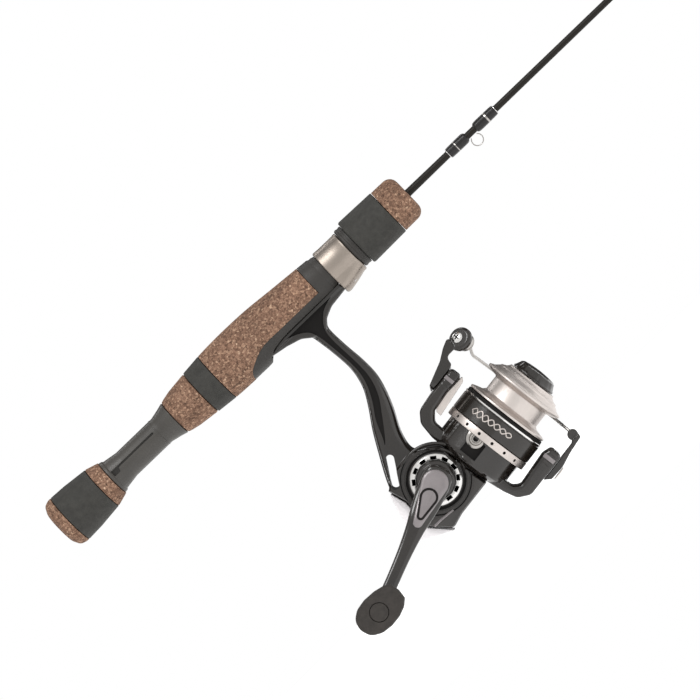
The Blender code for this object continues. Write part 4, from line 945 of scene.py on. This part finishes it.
def build_covers():
    """Side cover with its boss, the notched chrome ring and the pale rear cover."""
    low, high = local_box("side_cover", REEL)
    near = high.y
    centre = (CRANK_POS.x, 0.0, CRANK_POS.z)
    plate = prism("side_cover_look", inset(case_outline(), 0.6), near - 1.7, near, REEL, 0.7)
    boss = lathe("boss", eased([(near - 1.0, 0.0, 0.0), (near - 1.0, 8.7, 0.0), (near - 4.4, 8.7, 0.8),
                                (near - 5.4, 7.4, 0.6), (near - 5.4, 0.0, 0.0)], 0.3, 4), "Y", REEL, 96,
                 centre)
    combine(plate, [boss], "UNION")
    face = near - 1.7
    raised = [(face + 1.0, 14.0), (face - 0.5, 14.3), (face - 0.5, 15.3), (face + 1.0, 15.6)]
    sunk = [(face - 2.0, 12.4), (face + 1.1, 12.4), (face + 1.1, 13.9), (face - 2.0, 13.9)]
    thin = [(face - 2.0, 15.7), (face + 0.8, 15.7), (face + 0.8, 16.4), (face - 2.0, 16.4)]
    keep = prism("keep", inset(case_outline(), 0.7), near - 6.0, near, REEL)
    ridge = lathe("ridge", raised, "Y", REEL, 128, centre)
    combine(ridge, [keep], "INTERSECT")
    combine(plate, [ridge], "UNION")
    combine(plate, [bar("hole", "Y", near - 9.0, near + 3.0, 4.4, REEL, centre),
                    lathe("sunk", sunk[::-1], "Y", REEL, 128, centre),
                    lathe("thin", thin[::-1], "Y", REEL, 128, centre),
                    prism("slot", slot_outline(), -30.0, 10.0, REEL)], "DIFFERENCE")
    # Thin dark discs at the floors of the sunk and thin grooves: painted shadow in the grooves.
    shadows = [lathe("ring_groove_shade", [(face + 1.0, 12.5), (face + 1.0, 13.8), (face + 1.08, 13.8),
                                    (face + 1.08, 12.5)], "Y", REEL, 96, centre),
               lathe("ring_groove_shade", [(face + 0.7, 15.8), (face + 0.7, 16.3), (face + 0.78, 16.3),
                                    (face + 0.78, 15.8)], "Y", REEL, 96, centre)]
    floor = join(shadows[0], shadows[1:])
    combine(floor, [prism("keep", inset(case_outline(), 1.0), near - 6.0, near, REEL)], "INTERSECT")
    own(floor, "handle", PAINTED_SHADE)
    # A raised keel wire on the cover's lower step; its lighter gunmetal colour is a painted highlight along
    # that step.
    strip = [(x, face - 0.1, z) for x, z in [(-16.0, -5.5), (-12.0, -6.1), (-8.0, -6.9), (-4.8, -7.6)]]
    own(wire("keel_highlight_strip", strip, 0.55, REEL, 10), "handle", GUNMETAL)
    own(plate, "handle", GRAPHITE, "side_cover")
    low, high = local_box("side_ring", REEL)
    face, out = high.y, low.y
    profile = [(face, 9.0, 0.0), (face, 12.0, 0.0), (face - 1.0, 12.0, 0.5), (out, 11.0, 0.4),
               (out, 9.0, 0.2)]
    ring = lathe("side_ring_look", eased(profile, 0.3, 4), "Y", REEL, 144, centre)
    cutters = []
    notches = 12
    for index in range(notches):
        angle = math.tau * (index + 0.5) / notches
        at = moved(REEL, centre[0] + 10.1 * math.cos(angle), 0.0, centre[2] + 10.1 * math.sin(angle))
        cutters.append(block("notch", (-0.85, out - 1.0, -1.45), (0.85, out + 1.0, 1.45),
                             at @ Matrix.Rotation(-angle, 4, "Y"), 0.0))
    combine(ring, cutters, "DIFFERENCE")
    own(ring, "handle", CHROME, "side_ring")
    # A dark disc behind the chrome ring: painted shade seen through its notches.
    dark = [(out + 1.3, 9.2), (out + 1.3, 11.2), (out + 1.0, 11.2), (out + 1.0, 9.2)]
    own(lathe("notch_shade", dark, "Y", REEL, 96, centre), "handle", PAINTED_SHADE)
    low, high = local_box("rear_cover", REEL)
    shell = [(-17.4, 19.0, 0.5), (-19.8, 14.0, 3.0), (-23.4, 5.0, 3.0), (-24.8, -4.8, 1.5),
             (-20.0, -8.2, 1.5), (-11.8, -13.9, 0.0), (-18.9, -3.2, 1.0), (-15.7, 11.0, 2.0),
             (-16.8, 18.0, 0.5)]
    own(prism("rear_cover_look", eased(shell, 0.5, 5), low.y, high.y, REEL, 0.35), "handle", SHELL,
        "rear_cover")


def build_rotor():
    """Rotor cup with drum, two arms, window, plug and the silver plate under the upper arm."""
    low, high = local_box("rotor", REEL)
    back, half = low.x, 8.6
    rim, drum, wall = 31.0, 19.0, 3.4
    cup = [(back, 4.0, 0.0), (back, 13.0, 1.0), (back + 1.2, 16.0, 2.0), (back + 2.8, 18.6, 1.0),
           (back + 4.0, drum, 0.8), (rim, drum, 0.3), (rim, drum - wall, 0.0),
           (back + 4.5, drum - wall, 0.5), (back + 3.0, 14.1, 0.5), (back + 3.0, 4.0, 0.0)]
    body = lathe("rotor_look", eased(cup, 0.5, 5), "X", REEL, 128)
    upper = eased([(back + 0.2, 12.0, 0.0), (14.8, 20.0, 5.0), (16.6, 28.0, 5.0), (21.0, 32.0, 4.0),
                   (30.0, 32.7, 4.0), (44.8, 32.6, 2.0), (45.0, 26.2, 2.0), (35.0, 27.2, 4.0),
                   (25.0, 26.4, 2.5), (20.8, 23.0, 3.0), (20.4, 12.0, 0.0)], 1.0, 6)
    lower = eased([(back + 0.2, -12.0, 0.0), (15.4, -20.5, 5.0), (17.0, -27.2, 4.0), (22.0, -31.4, 4.0),
                   (44.6, -31.4, 2.0), (44.6, -25.4, 2.0), (40.0, -23.8, 3.0),
                   (22.6, -24.8, 3.0), (19.9, -21.8, 2.5), (20.4, -12.0, 0.0)], 1.0, 6)
    arm_a = prism("upper_arm", upper[::-1], -half, half, REEL, 1.7)
    arm_b = prism("lower_arm", lower, -half, half, REEL, 1.7)
    ridges = []
    for side in (-1.0, 1.0):
        for z in (17.2, 14.6):
            at = math.sqrt(drum * drum - z * z) * side
            ridges.append(wire("ridge", [(18.4, at, z), (24.0, at, z), (rim - 0.6, at, z)], 0.55, REEL,
                               12, 0.6))
        for x in (36.6, 38.4, 41.8, 43.2):
            ridges.append(wire("rib", [(x, side * 8.45, 27.6), (x, side * 8.5, 31.4)], 0.5, REEL, 12, 0.6))
            ridges.append(wire("rib", [(x, side * 8.45, -25.9), (x, side * 8.5, -30.4)], 0.5, REEL, 12, 0.6))
    for side in (-1.0, 1.0):
        arc = [(16.7, 18.3 * math.cos(angle), 18.3 * math.sin(angle) * side) for angle in
               [math.radians(step) for step in range(-14, 28, 3)]]
        ridges.append(wire("shoulder", [(x, y * side, z) for x, y, z in arc], 0.8, REEL, 12, 0.6))
    body = join(body, [arm_a, arm_b] + ridges)
    mould(body, 0.3, 2)
    low, high = local_box("balance_plug", REEL)
    middle = (low + high) / 2.0
    cutters = [block("window", (18.6, -drum - 2.0, -1.5), (middle.x, -drum + 2.2, 7.0), REEL, 0.0),
               bar("plug_pocket", "Y", -drum - 2.0, -drum + 2.2, 4.9, REEL, (middle.x, 0.0, middle.z), 64)]
    combine(body, cutters, "DIFFERENCE")
    own(body, "rotor", GRAPHITE, "rotor")
    # A dark sheet inside the rotor's window: painted shade in that recess.
    window_shade = block("window_shade_lining", (18.7, -drum + 2.0, -1.4), (middle.x, -drum + 2.15, 6.9), REEL)
    own(window_shade, "rotor", PAINTED_SHADE)
    plate = [(25.0, 22.9, 0.3), (43.2, 24.4, 0.6), (44.4, 25.6, 0.4), (44.4, 26.2, 0.2), (35.0, 27.1, 6.0),
             (26.4, 26.5, 0.5), (25.2, 25.6, 0.5)]
    own(prism("arm_plate_look", eased(plate, 0.3), -7.2, 7.2, REEL, 0.15), "rotor", SATIN, "arm_plate")
    clips = [block("clip", (39.4, -8.95, 27.6), (41.2, -8.3, 32.4), REEL, 0.2),
             block("clip", (39.0, -8.95, -30.6), (41.0, -8.3, -24.6), REEL, 0.2)]
    own(join(clips[0], clips[1:]), "rotor", GUNMETAL)
    outer = (high.x - low.x) / 2.0 + 0.6
    plug = [(high.y, outer * 0.3), (high.y, outer), (low.y + 0.5, outer), (low.y + 0.15, outer * 0.88),
            (low.y, outer * 0.72), (low.y + 0.6, outer * 0.62), (low.y + 0.6, outer * 0.46),
            (low.y + 0.1, outer * 0.38), (low.y + 0.1, outer * 0.3)]
    own(lathe("balance_plug_look", plug, "Y", REEL, 64, (middle.x, 0.0, middle.z)), "rotor", STEEL,
        "balance_plug")


def build_bail():
    """Bail arm with its eye, trip arm, wire, roller and screw."""
    x = in_reel(JOINTS["bail_flip"]["pos_m"]).x
    web = in_reel(JOINTS["line_roller_spin"]["pos_m"]).x - x
    arm = eased([(30.6, 33.0, 0.0), (46.0, 33.0, 1.6), (47.6, 37.2, 2.2), (53.0, 36.6, 1.0),
                 (55.0, 42.6, 1.0), (49.6, 41.0, 4.0), (44.0, 38.4, 4.0), (32.6, 35.4, 1.6)], 0.5, 6)
    top = prism("bail_arm_look", [(a - x, b) for a, b in arm], -7.2, 7.2, BAIL)
    plan = bar("plan", "Z", 20.0, 60.0, 8.0, BAIL, segments=96)
    combine(plan, [block("neck", (0.0, -6.8, 21.0), (web, -2.6, 59.0), BAIL)], "UNION")
    combine(top, [plan], "INTERSECT")
    eye = eased([(-4.6, 0.0, 0.0), (-4.6, 4.4, 0.6), (-3.6, 5.6, 0.8), (-1.8, 5.6, 0.6), (-1.3, 4.8, 0.3),
                 (-1.3, 0.0, 0.0)], 0.3, 5)
    seat = bar("washer", "Z", 32.4, 33.6, 6.4, BAIL, segments=64)
    top = join(top, [lathe("eye", eye, "Y", ROLLER @ Matrix.Translation(Vector((-0.2, 0.0, -1.1)) * MM),
                           96), seat])
    mould(top, 0.24, 4)
    own(top, "bail", GRAPHITE, "bail_arm")
    trip = eased([(30.8, -31.7, 0.0), (33.4, -34.4, 1.0), (40.6, -34.9, 2.0), (48.0, -33.6, 3.0),
                  (56.4, -32.9, 0.8), (57.2, -31.2, 0.6), (52.6, -31.0, 0.0), (51.4, -31.7, 0.0)], 0.5, 5)
    low_arm = prism("trip_arm_look", [(a - x, b) for a, b in trip], -5.6, 5.6, BAIL)
    box_low, box_high = local_box("bail_wire", BAIL)
    wire_r = 0.75
    lug_x = box_low.x + wire_r
    radius = box_high.y - wire_r
    lug_z = -radius + 1.4
    lug = bar("lug", "Y", -4.0, 1.5, 2.5, BAIL, (lug_x, 0.0, lug_z), 64)
    low_arm = join(low_arm, [lug])
    mould(low_arm, 0.22, 2)
    own(low_arm, "bail", GRAPHITE, "trip_arm")
    start = BAIL.inverted() @ (ROLLER @ Vector((0.0, 7.5 * MM, 0.0))) / MM
    path = [start, (start.x - 0.9, start.y + 3.3, start.z - 1.3), (lug_x + 0.6, start.y + 7.2, start.z - 3.2)]
    first, last = math.radians(62.0), math.radians(-74.0)
    steps = 14
    for step in range(steps + 1):
        angle = first + (last - first) * step / steps
        path.append((lug_x, radius * math.cos(angle), radius * math.sin(angle)))
    path += [(lug_x, 5.0, lug_z - 0.1), (lug_x, 1.4, lug_z)]
    own(wire("bail_wire_look", curve_through(path, 6), wire_r * 0.96, BAIL, 20), "bail", STEEL, "bail_wire")
    groove = eased([(-1.0, 1.4, 0.0), (-1.0, 4.6, 0.3), (0.2, 3.7, 1.0), (2.2, 3.7, 1.0), (3.4, 4.6, 0.3),
                    (3.4, 1.4, 0.0)], 0.3, 5)
    own(lathe("line_roller_look", groove, "Y", ROLLER, 96), "roller", STEEL, "line_roller")
    cone = eased([(3.7, 0.0, 0.0), (3.7, 4.4, 0.3), (5.2, 3.5, 1.5), (7.4, 1.0, 0.4), (7.4, 0.0, 0.0)],
                 0.3, 6)
    own(lathe("roller_cone_look", cone, "Y", ROLLER, 64), "bail", STEEL, "roller_cone")
    screw_at = ROLLER @ Matrix.Translation(Vector((-0.5, 0.0, -0.4)) * MM)
    own(screw("roller_screw_look", screw_at, -4.6, 2.6, 1.0), "bail", CHROME, "roller_screw")
    # Dark blocks in the screw head's cross recess: painted shade.
    cross = [block("cross", (-1.45, -5.1, -0.3), (1.45, -4.9, 0.3), screw_at),
             block("cross", (-0.3, -5.12, -1.45), (0.3, -4.92, 1.45), screw_at)]
    own(join(cross[0], cross[1:]), "bail", PAINTED_SHADE)
    low, high = local_box("trip_cap", BAIL)
    cap = eased([(high.z, 0.0, 0.0), (high.z, 3.4, 0.1), (low.z + 0.3, 3.2, 0.4), (low.z, 0.0, 0.0)], 0.2, 4)
    own(lathe("trip_cap_look", cap, "Z", BAIL, 48, (-1.2, 0.0, 0.0)), "bail", SATIN, "trip_cap")


def screw(name, matrix, face, radius, height):
    """A domed screw head with a cross recess, facing the frame's -Y."""
    dome = [(face, 0.0, 0.0), (face, radius, 0.0), (face - height * 0.45, radius, 0.3),
            (face - height * 0.9, radius * 0.6, 1.0), (face - height, 0.0, 0.0)]
    head = lathe(name, eased(dome, 0.3, 5), "Y", matrix, 64)
    wide, long = radius * 0.13, radius * 0.58
    deep = face - height * 0.35
    cross = [block("slot_a", (-long, face - height * 2.0, -wide), (long, deep, wide), matrix),
             block("slot_b", (-wide, face - height * 2.0, -long), (wide, deep, long), matrix)]
    return combine(head, cross, "DIFFERENCE")


def build_spool():
    """Perforated silver band, black skirt with a generic mark, turned body and drag knob."""
    low, high = local_box("skirt_band", REEL)
    skirt_r, inner = high.z, high.z - 1.0
    band = lathe("skirt_band_look", eased([(low.x, inner, 0.0), (low.x, skirt_r, 0.3),
                                           (high.x, skirt_r, 0.15), (high.x, inner, 0.0)], 0.2, 4), "X",
                 REEL, 192)
    drills = []
    count = 18
    middle = (low.x + high.x) / 2.0
    for index in range(count):
        angle = math.tau * (index + 0.875) / count
        spot = moved(REEL, middle, 0.0, 0.0) @ Matrix.Rotation(angle, 4, "X")
        drills.append(bar("drill", "Z", skirt_r - 0.7, skirt_r + 2.0, 0.75, spot, segments=24))
    holes = join(drills[0], drills[1:])
    combine(band, [holes], "DIFFERENCE")
    own(band, "spool", SATIN, "skirt_band")
    # Dark discs just inside each drilled hole: painted shade in the holes.
    hole_shades = []
    for index in range(count):
        angle = math.tau * (index + 0.875) / count
        spot = moved(REEL, middle, 0.0, 0.0) @ Matrix.Rotation(angle, 4, "X")
        hole_shades.append(bar("dot", "Z", skirt_r - 0.69, skirt_r - 0.5, 0.73, spot, segments=24))
    own(join(hole_shades[0], hole_shades[1:]), "spool", PAINTED_SHADE)
    low, high = local_box("spool_skirt", REEL)
    rear, front = low.x, high.x
    skirt = [(rear, inner), (rear, skirt_r - 0.25), (rear + 0.2, skirt_r), (front - 3.1, skirt_r),
             (front - 2.9, skirt_r - 0.3), (front - 2.4, skirt_r - 0.3), (front - 2.4, inner)]
    own(lathe("spool_skirt_look", skirt, "X", REEL, 192), "spool", BLACK, "spool_skirt")
    line = [(front - 2.35, inner), (front - 2.35, skirt_r - 0.1), (front - 2.15, skirt_r),
            (front - 1.75, skirt_r), (front - 1.55, skirt_r - 0.2), (front - 1.55, inner)]
    own(lathe("skirt_line", line, "X", REEL, 192), "spool", CHROME)
    # The groove at the skirt's front edge in matt near-black: painted shade in the groove.
    groove = [(front - 1.5, inner), (front - 1.5, skirt_r - 0.5), (front - 0.3, skirt_r - 0.5),
              (front, skirt_r - 0.9), (front, inner)]
    own(lathe("skirt_groove_shade", groove, "X", REEL, 192), "spool", PAINTED_SHADE)
    low, high = local_box("spool_body", REEL)
    x, end = low.x, high.x
    bore, recess = 2.3, 9.0
    flange = skirt_r - 0.6
    arbor, lip = 14.3, 20.0
    body = [(x, bore, 0.0), (x, flange, 0.2), (x + 1.0, flange, 0.3), (x + 1.6, flange - 1.6, 0.4),
            (x + 2.4, arbor + 1.4, 0.6), (x + 3.6, arbor, 0.8), (x + 10.8, arbor, 0.8),
            (x + 11.6, lip - 2.4, 0.6), (x + 12.6, lip, 0.5), (x + 13.6, lip, 0.5),
            (x + 14.4, lip - 2.2, 0.6), (x + 16.0, 15.8, 0.4), (x + 16.6, 15.4, 0.3),
            (x + 17.4, 13.4, 0.3), (end - 0.8, 12.4, 0.3), (end, 12.0, 0.3), (end, recess, 0.0),
            (end - 6.0, recess, 0.0), (end - 6.0, bore, 0.0)]
    own(lathe("spool_body_look", eased(body, 0.3, 4), "X", REEL, 160), "spool", SATIN, "spool_body")
    build_mark(skirt_r, rear, front)
    low, high = local_box("drag_knob", REEL)
    rear, front, radius = low.x, high.x, high.z
    count = 144
    profile = [(rear, 0.0), (rear, 0.98), (rear + 0.3, 1.0), (rear + 0.9, 1.0), (rear + 1.1, 0.97),
               (front - 2.4, 0.88), (front - 1.4, 0.84), (front - 0.7, 0.74), (front - 0.3, 0.5),
               (front - 0.1, 0.25), (front, 0.0)]
    knob = lathe("drag_knob_look", [(a, b * radius) for a, b in profile], "X", REEL, count)
    back = REEL.inverted()
    for vertex in knob.data.vertices:
        point = back @ vertex.co / MM
        size = math.hypot(point.y, point.z)
        if size > radius * 0.6:
            wave = 0.5 + 0.5 * math.cos(18.0 * math.atan2(point.z, point.y))
            keep = 1.0 - 0.012 * (1.0 - wave) ** 2
            vertex.co = REEL @ (Vector((point.x, point.y * keep, point.z * keep)) * MM)
    own(knob, "drag", BLACK, "drag_knob")


def build_mark(skirt_r, rear, front):
    """A plain twisted-rope ornament laid on the black skirt, in place of any lettering."""
    x = (rear + front) / 2.0 - 1.2
    for start in range(2):
        for strand in (-1.0, 1.0):
            path = []
            steps = 120
            for step in range(steps + 1):
                share = step / steps
                size = (1.9 - 0.9 * share) * math.sin(math.pi * min(1.0, 6.0 * share + 0.1) / 2.0)
                angle = math.radians(180.0 * start + 140.0 + 62.0 * share)
                path.append((x + strand * size * math.sin(math.pi * 7.0 * share) + 0.8 * share,
                             skirt_r * math.cos(angle), skirt_r * math.sin(angle)))
            mark = wire("skirt_rope_%d_%d" % (start, strand > 0.0), path, 0.3, REEL, 8, 0.3)
            own(mark, "spool", SATIN)


def arm_point(distance, aside=0.0):
    spot = ARM_ALONG * distance + ARM_ACROSS * aside
    return spot.x, spot.y


def build_crank():
    """Crank arm on its long hub, the lighter teardrop pad, the far cap and the paddle knob."""
    near = local_box("side_cover", REEL)[0].y - 0.3
    root = near - 15.0
    end = root - 15.4
    stations = [(-7.0, 2.6, root + 0.4, 2.0), (-6.2, 4.6, root + 0.3, 2.8), (-4.6, 6.2, root + 0.2, 3.3),
                (0.0, 7.0, root, 3.5), (8.0, 6.6, root - 1.6, 3.4), (14.0, 5.8, root - 4.2, 3.0),
                (18.0, 5.1, root - 5.6, 2.8), (24.0, 4.2, root - 6.8, 2.5), (34.0, 3.4, root - 9.2, 2.3),
                (46.0, 3.1, root - 12.6, 2.2), (THROW - 4.0, 3.3, end + 0.2, 2.2), (THROW, 3.6, end, 2.2),
                (THROW + 2.6, 2.8, end, 2.1), (THROW + 3.6, 1.2, end, 1.6)]
    line = curve_through(stations, 6)
    points = []
    for distance, half, y, thick in line:
        for a, b in oval(40, 0.62):
            spot = arm_point(distance, half * a)
            points.append((spot[0], y + thick * b, spot[1]))
    arm = skin("crank_arm_look", points, 40, CRANK)
    hub = lathe("hub", eased([(near, 0.0, 0.0), (near, 5.6, 0.4), (near - 3.0, 5.0, 1.0),
                              (root + 6.0, 5.0, 2.0), (root + 2.5, 6.4, 1.0), (root, 6.4, 0.5),
                              (root, 0.0, 0.0)], 0.3, 4), "Y", CRANK, 64)
    arm = join(arm, [hub])
    mould(arm, 0.26, 3)
    combine(arm, [bar("socket", "Y", near - 1.6, near + 2.0, 2.7, CRANK)], "DIFFERENCE")
    own(arm, "crank", GRAPHITE, "crank_arm")
    layers = []
    for inward, lift in ((0.0, 0.2), (0.0, 0.6), (0.3, 0.95), (0.9, 1.2), (1.8, 1.25), (2.7, 1.25),
                         (3.6, 1.25), (4.5, 1.25), (5.3, 1.25)):
        layers.append([(d, a, arm_face(line, d) - lift) for d, a in pad_outline(inward)])
    points = []
    for layer in layers:
        for distance, aside, y in layer:
            spot = arm_point(distance, aside)
            points.append((spot[0], y, spot[1]))
    pad = skin("crank_pad", points, len(layers[0]), CRANK, 50.0)
    own(pad, "crank", GUNMETAL)
    # A dark wire round the pad's inlay: painted shade in its groove.
    groove = []
    for distance, aside in teardrop(7.2, 3.7, 16.2, 1.3):
        spot = arm_point(distance, aside)
        groove.append((spot[0], arm_face(line, distance) - 1.2, spot[1]))
    own(wire("pad_groove_shade", groove + groove[:1], 0.55, CRANK, 10, 1.0), "crank", PAINTED_SHADE)
    low, high = local_box("crank_cap", CRANK)
    a, b = low.y, high.y
    cap = eased([(a, 2.7, 0.0), (a, 7.0, 0.3), (a + 1.2, 7.4, 0.6), (a + 3.6, 7.0, 0.8),
                 (b - 0.3, 5.4, 0.8), (b, 0.0, 0.0), (a + 3.0, 0.0, 0.0), (a + 3.0, 2.7, 0.0)], 0.4, 5)
    own(lathe("crank_cap_look", cap, "Y", CRANK, 96), "crank", GUNMETAL, "crank_cap")
    low, high = local_box("crank_knob", KNOB)
    start, end = high.y, low.y
    half_x, half_z = high.x, high.z
    points = []
    rings = [(start, 0.3, 0.42), (start - 0.4, 0.44, 0.55), (start - 1.6, 0.62, 0.7),
             (start - 3.4, 0.86, 0.9), (start - 5.4, 1.0, 1.0), (end + 2.4, 1.0, 1.0),
             (end + 1.0, 0.98, 0.975), (end + 0.3, 0.95, 0.93), (end, 0.91, 0.89)]
    face = [(-0.95, 0.0), (-0.82, -0.62), (-0.42, -0.93), (0.0, -0.99), (0.42, -0.91), (0.78, -0.7),
            (1.0, -0.4), (1.04, 0.1), (0.97, 0.64), (0.72, 0.84), (0.36, 0.96), (-0.12, 0.99),
            (-0.54, 0.87), (-0.86, 0.53)]
    face = eased([(a * half_x, b * half_z, 0.6 if a > 0.95 else 6.0) for a, b in face], 3.0, 6)
    for y, grow_x, grow_z in curve_through(rings, 4):
        for x, z in face:
            points.append((x * grow_x, y, z * grow_z))
    paddle = skin("crank_knob_look", points, len(face), KNOB)
    combine(paddle, [bar("bore", "Y", end - 3.0, start + 3.0, 1.8, KNOB),
                     bar("seat", "Y", end - 3.0, end + 1.4, 4.5, KNOB, segments=64)], "DIFFERENCE")
    own(paddle, "knob", KNOB_RUBBER, "crank_knob")
    low, high = local_box("knob_cap", KNOB)
    cap = eased([(high.y, 0.0, 0.0), (high.y, 4.2, 0.0), (low.y + 0.1, 4.2, 0.4), (low.y, 0.0, 0.0)], 0.3, 5)
    own(lathe("knob_cap_look", cap, "Y", KNOB, 64), "knob", KNOB_RUBBER, "knob_cap")


def arm_face(line, distance):
    """Outer face of the crank arm at a distance from its axis."""
    for first, last in zip(line, line[1:]):
        if distance <= last[0]:
            share = max(0.0, (distance - first[0]) / (last[0] - first[0]))
            return (first[2] - first[3]) * (1.0 - share) + (last[2] - last[3]) * share
    return line[-1][2] - line[-1][3]


def pad_outline(inward):
    """The pad from the hub out along the arm, round at both ends, as (along, aside) points."""
    return teardrop(0.4, 6.1 - inward, 19.4 - inward * 1.6, max(0.5, 2.2 - inward * 0.6))


def between(first, last, pieces=12):
    """Points on the straight line from first to last, without its ends."""
    shares = [step / pieces for step in range(1, pieces)]
    return [(first[0] + (last[0] - first[0]) * share,
             first[1] + (last[1] - first[1]) * share) for share in shares]


def teardrop(start, wide, end, slim):
    """Two circles on the crank arm's line and the straight sides between them."""
    steep = math.asin((wide - slim) / (end - start))
    outline = []
    steps = 24
    for step in range(steps + 1):
        angle = math.pi / 2.0 - steep + (math.pi + 2.0 * steep) * step / steps
        outline.append((start + wide * math.cos(angle), wide * math.sin(angle)))
    tip = []
    for step in range(steps + 1):
        angle = -math.pi / 2.0 + steep + (math.pi - 2.0 * steep) * step / steps
        tip.append((end + slim * math.cos(angle), slim * math.sin(angle)))
    return outline + between(outline[-1], tip[0]) + tip + between(tip[-1], outline[0])


def repaint_inner():
    """Inner pieces keep their CAD shape and get finished metals and plastics."""
    for node, material in (("drive_gear", BRASS), ("pinion_gear", BRASS), ("rotor_nut", BRASS),
                           ("main_shaft", STEEL), ("knob_spindle", STEEL), ("crank_bearing_far", STEEL),
                           ("crank_bearing_near", STEEL), ("pinion_bearing", STEEL),
                           ("drag_washer", FELT), ("click_ratchet", BLACK), ("oscillation_gear", SHELL),
                           ("oscillation_slider", SHELL)):
        repaint(node, material)


# ---- stage ---------------------------------------------------------------------------------------
def build_stage():
    """Plain pale floor, soft studio light, and the camera at the photographed angle."""
    scene = bpy.context.scene
    floor_z = CAD_BOX[0][2] - 0.004
    shape = bmesh.new()
    bmesh.ops.create_circle(shape, cap_ends=True, segments=96, radius=0.5)
    mesh = bpy.data.meshes.new("floor")
    shape.to_mesh(mesh)
    shape.free()
    floor = bpy.data.objects.new("floor", mesh)
    floor.location = (0.0, 0.0, floor_z)
    scene.collection.objects.link(floor)
    look = Look("pale_floor")
    look.colour(look.ramp(look.noise(3.0), [(0.3, (0.6, 0.6, 0.598)), (0.7, (0.62, 0.62, 0.618))]))
    look.set(Roughness=0.9, Specular_IOR_Level=0.0, Emission_Color=(1.0, 1.0, 1.0, 1.0),
             Emission_Strength=0.8)
    mesh.materials.append(look.material)
    build_world(scene)
    add_light("key", (0.2, -1.1, 1.5), 0.7, 0.7, 14.0)
    add_light("top_strip", (0.0, 0.95, 1.25), 1.8, 0.28, 6.0)
    add_light("rear_strip", (-1.3, 0.9, 0.0), 0.16, 1.6, 5.0)
    add_light("front_strip", (1.3, 0.9, -0.1), 0.16, 1.6, 4.0)
    camera = bpy.data.cameras.new("camera")
    camera.sensor_width = 36.0
    distance, width = 2.4, 0.318
    camera.lens = 36.0 * distance / width
    azimuth = math.radians(2.2)
    roll = math.radians(43.9)
    back_axis = Vector((math.sin(azimuth), -math.cos(azimuth), 0.0))
    flat_right = Vector((math.cos(azimuth), math.sin(azimuth), 0.0))
    flat_up = Vector((0.0, 0.0, 1.0))
    right = flat_right * math.cos(roll) - flat_up * math.sin(roll)
    up = flat_right * math.sin(roll) + flat_up * math.cos(roll)
    aim = Vector((0.0033, 0.0, -0.0331))
    place = aim + back_axis * distance
    matrix = Matrix.Identity(4)
    for index in range(3):
        matrix[index][0] = right[index]
        matrix[index][1] = up[index]
        matrix[index][2] = back_axis[index]
        matrix[index][3] = place[index]
    thing = bpy.data.objects.new("camera", camera)
    thing.matrix_world = matrix
    scene.collection.objects.link(thing)
    scene.camera = thing
    scene.view_settings.view_transform = "Standard"


def build_world(scene):
    """A white backdrop, and in reflections a studio that is bright in front and dark behind."""
    world = bpy.data.worlds.new("studio")
    world.use_nodes = True
    scene.world = world
    tree = world.node_tree
    tree.nodes.clear()
    coordinate = tree.nodes.new("ShaderNodeTexCoord")
    split = tree.nodes.new("ShaderNodeSeparateXYZ")
    tree.links.new(coordinate.outputs["Generated"], split.inputs["Vector"])
    depth = tree.nodes.new("ShaderNodeMapRange")
    depth.inputs["From Min"].default_value = -1.0
    depth.inputs["From Max"].default_value = 1.0
    tree.links.new(split.outputs["Y"], depth.inputs["Value"])
    ramp = tree.nodes.new("ShaderNodeValToRGB")
    stops = [(0.0, 0.9), (0.3, 1.0), (0.47, 0.8), (0.54, 0.25), (0.6, 0.05), (1.0, 0.05)]
    while len(ramp.color_ramp.elements) < len(stops):
        ramp.color_ramp.elements.new(0.5)
    for element, (position, value) in zip(ramp.color_ramp.elements, stops):
        element.position = position
        element.color = (value, value, value * 0.99, 1.0)
    tree.links.new(depth.outputs["Result"], ramp.inputs["Fac"])
    studio = tree.nodes.new("ShaderNodeBackground")
    tree.links.new(ramp.outputs["Color"], studio.inputs["Color"])
    studio.inputs["Strength"].default_value = 1.0
    backdrop = tree.nodes.new("ShaderNodeBackground")
    backdrop.inputs["Color"].default_value = (1.0, 1.0, 1.0, 1.0)
    ray = tree.nodes.new("ShaderNodeLightPath")
    choose = tree.nodes.new("ShaderNodeMixShader")
    tree.links.new(ray.outputs["Is Camera Ray"], choose.inputs[0])
    tree.links.new(studio.outputs["Background"], choose.inputs[1])
    tree.links.new(backdrop.outputs["Background"], choose.inputs[2])
    output = tree.nodes.new("ShaderNodeOutputWorld")
    tree.links.new(choose.outputs["Shader"], output.inputs["Surface"])


def add_light(name, place, wide, tall, power):
    """A soft panel aimed at the reel, wide along X and tall across it."""
    light = bpy.data.lights.new(name, "AREA")
    light.shape = "RECTANGLE"
    light.size = wide
    light.size_y = tall
    light.energy = power
    back_axis = (Vector(place) - Vector((0.0, 0.0, -0.05))).normalized()
    across = Vector((1.0, 0.0, 0.0)) if abs(back_axis.x) < 0.6 else Vector((0.0, 1.0, 0.0))
    side = (across - back_axis * across.dot(back_axis)).normalized()
    up = back_axis.cross(side)
    thing = bpy.data.objects.new(name, light)
    matrix = Matrix.Identity(4)
    for index in range(3):
        matrix[index][0] = side[index]
        matrix[index][1] = up[index]
        matrix[index][2] = back_axis[index]
        matrix[index][3] = place[index]
    thing.matrix_world = matrix
    bpy.context.scene.collection.objects.link(thing)


build_stage()
build_grips()
build_tube()
build_main_grip()
build_seat()
build_hood()
build_fore_grip()
blank_radius = build_blank()
build_keeper(blank_radius)
build_guides(blank_radius)
build_tip()
build_body()
build_covers()
build_rotor()
build_bail()
build_spool()
build_crank()
repaint_inner()
bpy.context.view_layer.update()
